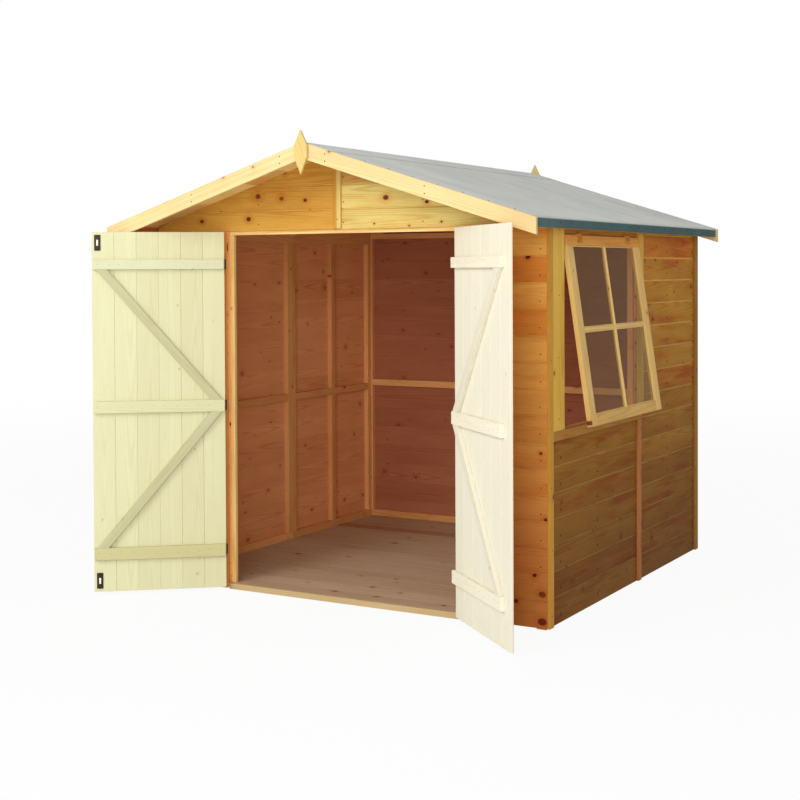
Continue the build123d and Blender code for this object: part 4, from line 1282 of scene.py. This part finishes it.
def trim_nails(rng, node):
    """Nails up the middle of the outer face of every trim of a node."""
    found = []
    for part in solids(node):
        low, high = limits(part)
        size = high - low
        flat = 0 if size[0] < size[1] and node not in ("door_posts", "front_gable_strip") else 1
        middle = (low + high) / 2
        outward = np.zeros(3)
        outward[flat] = 1.0 if middle[flat] > 0 else -1.0
        count = max(2, round(size[2] / settings().fixings.trim_spacing) + 1)
        for z in np.linspace(low[2] + TRIM_ENDS[0], high[2] - TRIM_ENDS[1], count):
            point = middle.copy()
            point[flat] = high[flat] if outward[flat] > 0 else low[flat]
            point[1 - flat] += rng.normal(0, TRIM_SCATTER[0])
            point[2] = z + rng.normal(0, TRIM_SCATTER[1])
            found.append((point, outward))
    return found


def barge_nails():
    """Pairs of nails along the bargeboards."""
    fall = slope()
    found = []
    for part in solids("left_bargeboards") + solids("right_bargeboards"):
        low, high = limits(part)
        face, way = (low[1], -ALONG_Y) if low[1] < 0 else (high[1], ALONG_Y)
        reach = max(abs(low[0]), abs(high[0]))
        sign = 1.0 if high[0] > 0.5 else -1.0
        for x in np.arange(0.12, reach - 0.02, settings().fixings.barge_spacing):
            found += [((sign * x, face, high[2] - x * fall - drop), way) for drop in BARGE_DROPS]
    return found


def leaf_nails(rng, side, shut):
    """Nails through the boards of a shut leaf into its ledges, two to a board on either face."""
    aside, rise, slant = LEAF_SCATTER
    low, high = limits(solids(f"{side}_door_boards", shut)[0])
    edges = even_widths(low[0], high[0], settings().boards.door_board)
    found = []
    for part in solids(f"{side}_door_ledges", shut):
        ledge_low, ledge_high = limits(part)
        for x in np.column_stack([edges[:-1] + LEAF_EDGE, edges[1:] - LEAF_EDGE]).ravel():
            if ledge_low[0] < x < ledge_high[0]:
                z = (ledge_low[2] + ledge_high[2]) / 2 + rng.normal(0, rise)
                x += rng.normal(0, aside)
                found.append(((x, low[1], z), -ALONG_Y))
                found.append(((x, ledge_high[1], z + rng.normal(0, slant)), ALONG_Y))
    return found


def drive_nails():
    """Nail heads in the wall boards over the studs, in the trims and in the door boards."""
    radius = settings().fixings.nail_radius
    rng = np.random.default_rng([settings().seed, 90])
    covers = [limits(part) for node in (*TRIMS, "window_sill") for part in solids(node)]
    nails = []
    for wall, sign, node, axis in (("left", -1.0, "side_wall_studs", 0), ("right", 1.0, "side_wall_studs", 0),
                                   ("front", -1.0, "end_wall_studs", 1), ("back", 1.0, "end_wall_studs", 1)):
        lines = [line for side, line in stud_lines(node, axis) if side == sign]
        nails += wall_nails(rng, wall, SKINS[wall], lines, covers)
        if node == "end_wall_studs":
            lines = sorted({*GABLE_LINES, *(line for line in lines if abs(line) > OUTER_STUDS)})
            nails += wall_nails(rng, wall, [f"{wall}_gable_cladding"], lines, covers)
    for node in TRIMS:
        nails += trim_nails(rng, node)
    heads("wall_nails", nails, radius, NAIL)
    heads("barge_nails", barge_nails(), radius, NAIL)
    for side in SIDES:
        shut, rest = closing(side)
        heads(f"{side}_leaf_nails", leaf_nails(rng, side, shut), radius * LEAF_SHARE, NAIL,
              body=f"{side}_door", rest=rest)


def nail_felt():
    """Clout nails along the turned-down felt and the front and back edges of the roof."""
    sizes = settings().fixings
    felt = settings().felt
    low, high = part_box("right_roof_felt")
    fall = slope()
    nails = []
    for sign in SIDES.values():
        for y in np.arange(low[1] + 0.05, high[1] - 0.02, sizes.clout_spacing):
            nails.append(((sign * high[0], y, low[2] + 0.024), (sign, 0.0, 0.0)))
        for y in (low[1] + 0.03, high[1] - 0.03):
            for x in np.arange(0.06, high[0] - 0.03, sizes.clout_spacing):
                rise = felt.thickness * CAP_LIFT if x < felt.cap_width / 2 else 0.0
                nails.append(((sign * x, y, high[2] - x * fall + rise + 0.0002), (sign * fall, 0.0, 1.0)))
    heads("felt_nails", nails, sizes.clout_radius, CLOUT)


# ------------------------------------------------------------------ stage


def seen(graph):
    """1 for what the camera sees, straight, in a mirror or through glass, and 0 for other light."""
    paths = graph.node("ShaderNodeLightPath")
    straight, mirrored, through = [Value(graph, paths.outputs[f"Is {kind} Ray"])
                                   for kind in ("Camera", "Glossy", "Transmission")]
    return straight.maths("MAXIMUM", mirrored).maths("MAXIMUM", through)


def lay_white_floor(stage):
    """A floor that keeps the shadow and turns white with distance."""
    side = FLOOR_REACH
    square = [(-side, -side, 0.0), (side, -side, 0.0), (side, side, 0.0), (-side, side, 0.0)]
    ground = linked("stage_floor", new_mesh("stage_floor", square, [0, 1, 2, 3], np.array([4])))
    graph = Graph("white_floor")
    matt = graph.value("ShaderNodeBsdfDiffuse", None, {"Color": (0.8, 0.8, 0.8, 1.0)})
    glow = graph.value("ShaderNodeEmission", None, {"Color": WHITE, "Strength": 1.0})
    x, y, _ = graph.parts(object_place(graph))
    far = (x * x + y * y).root().ramp(*stage.floor_fade)
    white = far * (1.0 - stage.floor_white) + stage.floor_white
    both = graph.value("ShaderNodeMixShader", None, {0: seen(graph) * white, 1: matt, 2: glow})
    graph.node("ShaderNodeOutputMaterial", None, {"Surface": both})
    ground.data.materials.append(graph.owner)


def set_stage():
    """Camera, even sky, two large lamps and a white floor that keeps the shadow."""
    stage = settings().stage
    scene = bpy.context.scene
    scene.view_settings.view_transform = "Standard"
    lay_white_floor(stage)

    sky = Graph("even_sky", "worlds")
    scene.world = sky.owner
    strength = stage.sky + seen(sky) * (1.0 - stage.sky)
    glow = sky.value("ShaderNodeBackground", None, {"Color": WHITE, "Strength": strength})
    sky.node("ShaderNodeOutputWorld", None, {"Surface": glow})

    for name, power, place in LAMPS:
        lamp = bpy.data.lights.new(name, "AREA")
        lamp.shape = "DISK"
        lamp.size = LAMP_WIDTH
        lamp.energy = getattr(stage, power)
        lamp.color = LAMP_COLOUR
        back = unit(np.array(place) - np.array(LIT_POINT))
        right = unit(np.cross(UP, back))
        linked(name, lamp).matrix_world = camera_matrix(place, right, np.cross(back, right), back)

    lens = bpy.data.cameras.new("camera")
    lens.sensor_width = 36.0
    lens.lens = stage.focal_length
    lens.shift_y = stage.frame_shift
    turn, tilt, roll = stage.camera_turn, stage.camera_tilt, stage.camera_roll
    ahead = np.array([-math.sin(turn) * math.cos(tilt), math.cos(turn) * math.cos(tilt), -math.sin(tilt)])
    level = np.array([math.cos(turn), math.sin(turn), 0.0])
    above = np.cross(level, ahead)
    right = level * math.cos(roll) + above * math.sin(roll)
    above = above * math.cos(roll) - level * math.sin(roll)
    scene.camera = linked("camera", lens)
    scene.camera.matrix_world = camera_matrix(stage.camera_place, right, above, -ahead)


def camera_matrix(place, right, above, back):
    """A placing matrix from a point and three axes."""
    matrix = np.identity(4)
    matrix[:3] = np.column_stack([right, above, back, place])
    return Matrix(matrix.tolist())


# ------------------------------------------------------------------ operators and panel
class SHED_OT_lay_floor(bpy.types.Operator):
    """Floor boards across the bearers, the bearers and the threshold."""
    bl_idname = "shed.lay_floor"
    bl_label = "Lay floor"

    def execute(self, context):
        lay_floor()
        return {"FINISHED"}


class SHED_OT_board_walls(bpy.types.Operator):
    """Shiplap boards on the four walls and the two gables."""
    bl_idname = "shed.board_walls"
    bl_label = "Board walls"

    def execute(self, context):
        board_walls()
        return {"FINISHED"}


class SHED_OT_frame_walls(bpy.types.Operator):
    """Studs, rails and rafters of the wall panels."""
    bl_idname = "shed.frame_walls"
    bl_label = "Frame walls"

    def execute(self, context):
        frame_walls()
        return {"FINISHED"}


class SHED_OT_board_roof(bpy.types.Operator):
    """Roof boards along the ridge, the ridge beam, the rafters and the eaves battens."""
    bl_idname = "shed.board_roof"
    bl_label = "Board roof"

    def execute(self, context):
        board_roof()
        return {"FINISHED"}


class SHED_OT_lay_felt(bpy.types.Operator):
    """The felt over both slopes, turned down at the eaves, and the strip over the ridge."""
    bl_idname = "shed.lay_felt"
    bl_label = "Lay felt"

    def execute(self, context):
        lay_felt()
        return {"FINISHED"}


class SHED_OT_hang_bargeboards(bpy.types.Operator):
    """Bargeboards and the pointed finials over their joints."""
    bl_idname = "shed.hang_bargeboards"
    bl_label = "Hang bargeboards"

    def execute(self, context):
        hang_bargeboards()
        return {"FINISHED"}


class SHED_OT_nail_trims(bpy.types.Operator):
    """Cover strips at the corners and joints, and the posts and stops of the doorway."""
    bl_idname = "shed.nail_trims"
    bl_label = "Nail trims"

    def execute(self, context):
        nail_trims()
        return {"FINISHED"}


class SHED_OT_fit_window(bpy.types.Operator):
    """Jambs, sill, sash with glazing bars and beads, pane, hinges and stay."""
    bl_idname = "shed.fit_window"
    bl_label = "Fit window"

    def execute(self, context):
        fit_window()
        return {"FINISHED"}


class SHED_OT_hang_doors(bpy.types.Operator):
    """Boards, ledges and braces of both leaves, cut as they hang when shut and swung out to rest."""
    bl_idname = "shed.hang_doors"
    bl_label = "Hang doors"

    def execute(self, context):
        hang_doors()
        return {"FINISHED"}


class SHED_OT_fit_ironmongery(bpy.types.Operator):
    """Hinges and bolts keep their CAD shapes; screws and the bolts' bright rods are added."""
    bl_idname = "shed.fit_ironmongery"
    bl_label = "Fit ironmongery"

    def execute(self, context):
        fit_ironmongery()
        return {"FINISHED"}


class SHED_OT_drive_nails(bpy.types.Operator):
    """Nail heads in the wall boards over the studs, in the trims and in the door boards."""
    bl_idname = "shed.drive_nails"
    bl_label = "Drive nails"

    def execute(self, context):
        drive_nails()
        return {"FINISHED"}


class SHED_OT_nail_felt(bpy.types.Operator):
    """Clout nails along the turned-down felt and the front and back edges of the roof."""
    bl_idname = "shed.nail_felt"
    bl_label = "Nail felt"

    def execute(self, context):
        nail_felt()
        return {"FINISHED"}


class SHED_OT_set_stage(bpy.types.Operator):
    """Camera, even sky, two large lamps and a white floor that keeps the shadow."""
    bl_idname = "shed.set_stage"
    bl_label = "Set stage"

    def execute(self, context):
        set_stage()
        return {"FINISHED"}


OPERATORS = (SHED_OT_lay_floor, SHED_OT_board_walls, SHED_OT_frame_walls, SHED_OT_board_roof,
             SHED_OT_lay_felt, SHED_OT_hang_bargeboards, SHED_OT_nail_trims, SHED_OT_fit_window,
             SHED_OT_hang_doors, SHED_OT_fit_ironmongery, SHED_OT_drive_nails, SHED_OT_nail_felt,
             SHED_OT_set_stage)


class SHED_PT_panel(bpy.types.Panel):
    """Lists the shed's operators and settings."""
    bl_label = "Garden shed"
    bl_idname = "SHED_PT_panel"
    bl_space_type = "VIEW_3D"
    bl_region_type = "UI"
    bl_category = "Shed"

    def draw(self, context):
        for made in OPERATORS:
            self.layout.operator(made.bl_idname)
        shed = context.scene.shed_settings
        self.layout.prop(shed, "seed")
        for name, group in GROUPS:
            box = self.layout.box()
            box.label(text=name.capitalize())
            for field in group.__annotations__:
                box.prop(getattr(shed, name), field)


CLASSES = [group for _, group in GROUPS] + [ShedSettings, *OPERATORS, SHED_PT_panel]


def register():
    for made in CLASSES:
        bpy.utils.register_class(made)
    bpy.types.Scene.shed_settings = PointerProperty(type=ShedSettings)


def unregister():
    del bpy.types.Scene.shed_settings
    for made in reversed(CLASSES):
        bpy.utils.unregister_class(made)


def main():
    register()
    for made in OPERATORS:
        name = made.bl_idname.split(".")[1]
        getattr(bpy.ops.shed, name)()


if __name__ == "__main__":
    main()
